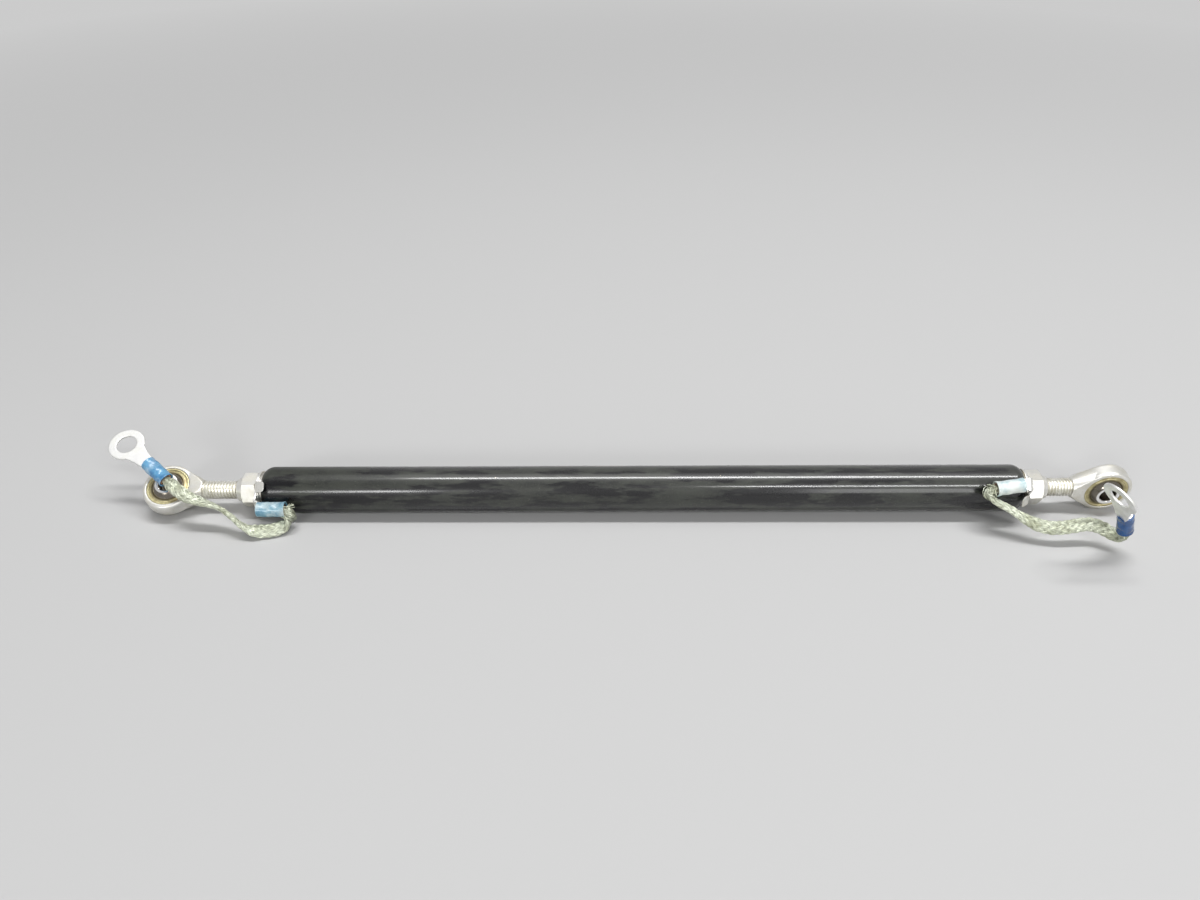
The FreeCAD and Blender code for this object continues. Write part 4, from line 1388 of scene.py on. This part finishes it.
def sleeve_mesh(matrix, seed):
    """Crimped sleeve in its place."""
    inner = SLEEVE_RADIUS - SLEEVE_WALL
    rings = [(SLEEVE_LENGTH * k / SLEEVE_RINGS, SLEEVE_RADIUS, 0.0) for k in range(1, SLEEVE_RINGS)]
    outline = rounded([(0, SLEEVE_RADIUS)] + rings
                      + [(SLEEVE_LENGTH, SLEEVE_RADIUS), (SLEEVE_LENGTH, inner), (0, inner)], SLEEVE_EDGE)
    bm = lathe(outline, SLEEVE_STEPS)
    for vert in bm.verts:
        x, y, z = vert.co
        radius = math.hypot(y, z)
        turn = math.atan2(z, y)
        squeeze = 1.0
        for at, spread, depth in CRIMPS:
            near = depth * swell(x, at, spread)
            squeeze -= near * max(0.0, math.cos(2 * (turn + seed))) ** CRIMP_SHARPNESS
            squeeze += near * max(0.0, -math.cos(2 * (turn + seed))) * CRIMP_SWELL
        flare = BELL_FLARE * eased(1 - x / BELL_LENGTH)
        lump = noise.noise(Vector((x / MM * 0.8 + seed * 9, y / MM * 0.7, z / MM * 0.7))) * LUMP_HEIGHT
        grown = max(radius * squeeze, LEAST_RADIUS) + flare + lump
        vert.co = Vector((x, y / radius * grown, z / radius * grown))
    return to_mesh(bm, "sleeve", matrix)


for side in ENDS:
    for kind, matrix, seed in (("clamped", clamped_frame(side), 0.3), ("free", loose_frame(side), 1.35)):
        node = side + "_" + kind + "_terminal_sleeve"
        finish = SLEEVE_FINISH[side, kind]
        settle(node + "_nylon", sleeve_mesh(matrix, seed), finish, "rod", node)

# %% [markdown]
# ## The straps join the object
# Each strap's wires become one piece that rides on the rod's body and takes over the CAD strap.

for side in ENDS:
    mesh = strap_meshes[side]
    mesh.shade_smooth()
    strap = settle(side + "_braid", mesh, "tinned_braid", "rod", side + "_bond_strap")
    clamped_frame(side).translation
    print(side, "braid", len(mesh.polygons), "faces")

# %% [markdown]
# ## Pieces that stay as the CAD made them
# The end fittings and the inner sleeves of the terminals are almost hidden. Their shapes are right, so
# they only get a finish.

# %% Finish the hidden pieces
for side in ENDS:
    kept = {side + "_end_fitting": "bare_steel", side + "_clamped_terminal_inner_sleeve": "bare_copper",
            side + "_free_terminal_inner_sleeve": "bare_copper"}
    for node, finish in kept.items():
        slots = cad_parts[node].data.materials
        slots.clear()
        slots.append(FINISHES[finish])
print("hidden pieces finished")

# %% [markdown]
# ## Floor
# The rod lies on a plain pale floor. Near the rod the floor takes its shadow. Farther off it fades into
# an even backdrop, which the camera and every mirror see but which throws no light on the rod. A shiny
# tube shows all that is round it, and an even backdrop keeps a far edge from showing there as a dark band.

# %% Floor
FLOOR_HALF = 3.0
FLOOR_TONE = 0.55
BACKDROP_TONE = 0.60
BACKDROP_MIDDLE = Vector((150, 60, 0)) * MM
BACKDROP_FROM, BACKDROP_TO = 0.32, 0.85
FLOOR_LEFT = Vector((34.5, 0, -7.52)) * MM
FLOOR_RIGHT = Vector((305.3, 0, -8.44)) * MM


def seen_directly(tree):
    """1 for what the camera, a mirror or glass looks at, 0 for light that falls on things."""
    path = tree.nodes.new("ShaderNodeLightPath")
    seen = path.outputs["Is Camera Ray"]
    for label in ("Is Glossy Ray", "Is Transmission Ray"):
        either = tree.nodes.new("ShaderNodeMath")
        either.operation = "MAXIMUM"
        tree.links.new(seen, either.inputs[0])
        tree.links.new(path.outputs[label], either.inputs[1])
        seen = either.outputs["Value"]
    return seen


def floor_finish():
    """Pale floor that takes shadows near the rod and fades to an even backdrop farther off."""
    finish = Finish("pale_floor", 0.8)
    finish.shader.inputs["Base Color"].default_value = (FLOOR_TONE, FLOOR_TONE, FLOOR_TONE, 1.0)
    away = finish.tree.nodes.new("ShaderNodeVectorMath")
    away.operation = "DISTANCE"
    away.inputs[1].default_value = BACKDROP_MIDDLE
    finish.tree.links.new(finish.place, away.inputs[0])
    far = finish.ranged(away.outputs["Value"], 0.0, 1.0, BACKDROP_FROM, BACKDROP_TO)
    glow = finish.tree.nodes.new("ShaderNodeEmission")
    glow.inputs["Strength"].default_value = BACKDROP_TONE
    blend = finish.tree.nodes.new("ShaderNodeMixShader")
    finish.tree.links.new(finish.worked("MULTIPLY", far, seen_directly(finish.tree)), blend.inputs["Fac"])
    finish.tree.links.new(finish.shader.outputs["BSDF"], blend.inputs[1])
    finish.tree.links.new(glow.outputs["Emission"], blend.inputs[2])
    output = finish.tree.nodes["Material Output"]
    finish.tree.links.new(blend.outputs["Shader"], output.inputs["Surface"])
    return finish.material


def add_floor():
    """A large pale square, tilted as the rod stands: on its tube at the left, on its eye at the right."""
    bm = bmesh.new()
    bmesh.ops.create_grid(bm, x_segments=1, y_segments=1, size=FLOOR_HALF)
    slope = math.atan2(FLOOR_LEFT.z - FLOOR_RIGHT.z, FLOOR_RIGHT.x - FLOOR_LEFT.x)
    bmesh.ops.rotate(bm, cent=(0, 0, 0), matrix=Matrix.Rotation(slope, 3, "Y"), verts=bm.verts)
    bmesh.ops.translate(bm, vec=FLOOR_LEFT, verts=bm.verts)
    mesh = bpy.data.meshes.new("floor")
    bm.to_mesh(mesh)
    bm.free()
    mesh.materials.append(floor_finish())
    added("floor", mesh)


add_floor()
print("floor drops", round((FLOOR_LEFT.z - FLOOR_RIGHT.z) / MM, 2), "mm to the right")

# %% [markdown]
# ## Light
# A black gloss tube shows little but its lamps, so each long lamp is there for a line of light. A strip
# overhead draws the bright line along the top, and a strip in front draws the fainter one below. Lower
# panels light the flats and rings that face the camera. A broad softbox and the world add a plain fill.

# %% Lights
AIM = Vector((140, 0, 0)) * MM
LAMPS = {
    "softbox": {"place": (0.20, 0.30, 1.60), "size": (1.60, 0.90), "radiance": 0.9},
    "overhead_strip": {"place": (0.41, 0.06, 1.50), "size": (1.30, 0.15), "radiance": 27.0},
    "front_strip": {"place": (0.74, -1.10, 1.10), "size": (0.70, 0.06), "radiance": 44.0},
    "low_strip": {"place": (-0.50, -1.40, 0.70), "size": (0.45, 0.22), "radiance": 21.0},
    "right_panel": {"place": (0.95, -1.35, 0.52), "size": (0.80, 0.50), "radiance": 3.6},
    "left_card": {"place": (-0.50, -1.40, 0.25), "size": (0.45, 0.30), "radiance": 0.5},
}
WORLD_STRENGTH = 0.16


def area_lamp(name, place, size, radiance):
    """Soft rectangular lamp of a known brightness that faces the rod."""
    data = bpy.data.lights.new(name, "AREA")
    data.shape = "RECTANGLE"
    data.size, data.size_y = size
    data.energy = math.pi * size[0] * size[1] * radiance
    lamp = added(name, data)
    lamp.visible_camera = False
    place = Vector(place)
    away = place - Vector((place.x, AIM.y, AIM.z))
    lamp.matrix_world = local_frame(place, Vector((1, 0, 0)), away)
    return lamp


def add_world():
    """White surroundings: a weak fill for the rod, and the backdrop's tone where they are looked at."""
    world = bpy.data.worlds.new("studio")
    world.use_nodes = True
    tree = world.node_tree
    background = tree.nodes["Background"]
    background.inputs["Color"].default_value = (1.0, 1.0, 1.0, 1.0)
    strength = tree.nodes.new("ShaderNodeMapRange")
    strength.inputs["To Min"].default_value = WORLD_STRENGTH
    strength.inputs["To Max"].default_value = BACKDROP_TONE
    tree.links.new(seen_directly(tree), strength.inputs["Value"])
    tree.links.new(strength.outputs["Result"], background.inputs["Strength"])
    bpy.context.scene.world = world


for name, values in LAMPS.items():
    area_lamp(name, **values)
add_world()
bpy.context.scene.view_settings.view_transform = "Standard"
print("lamps:", sorted(LAMPS))
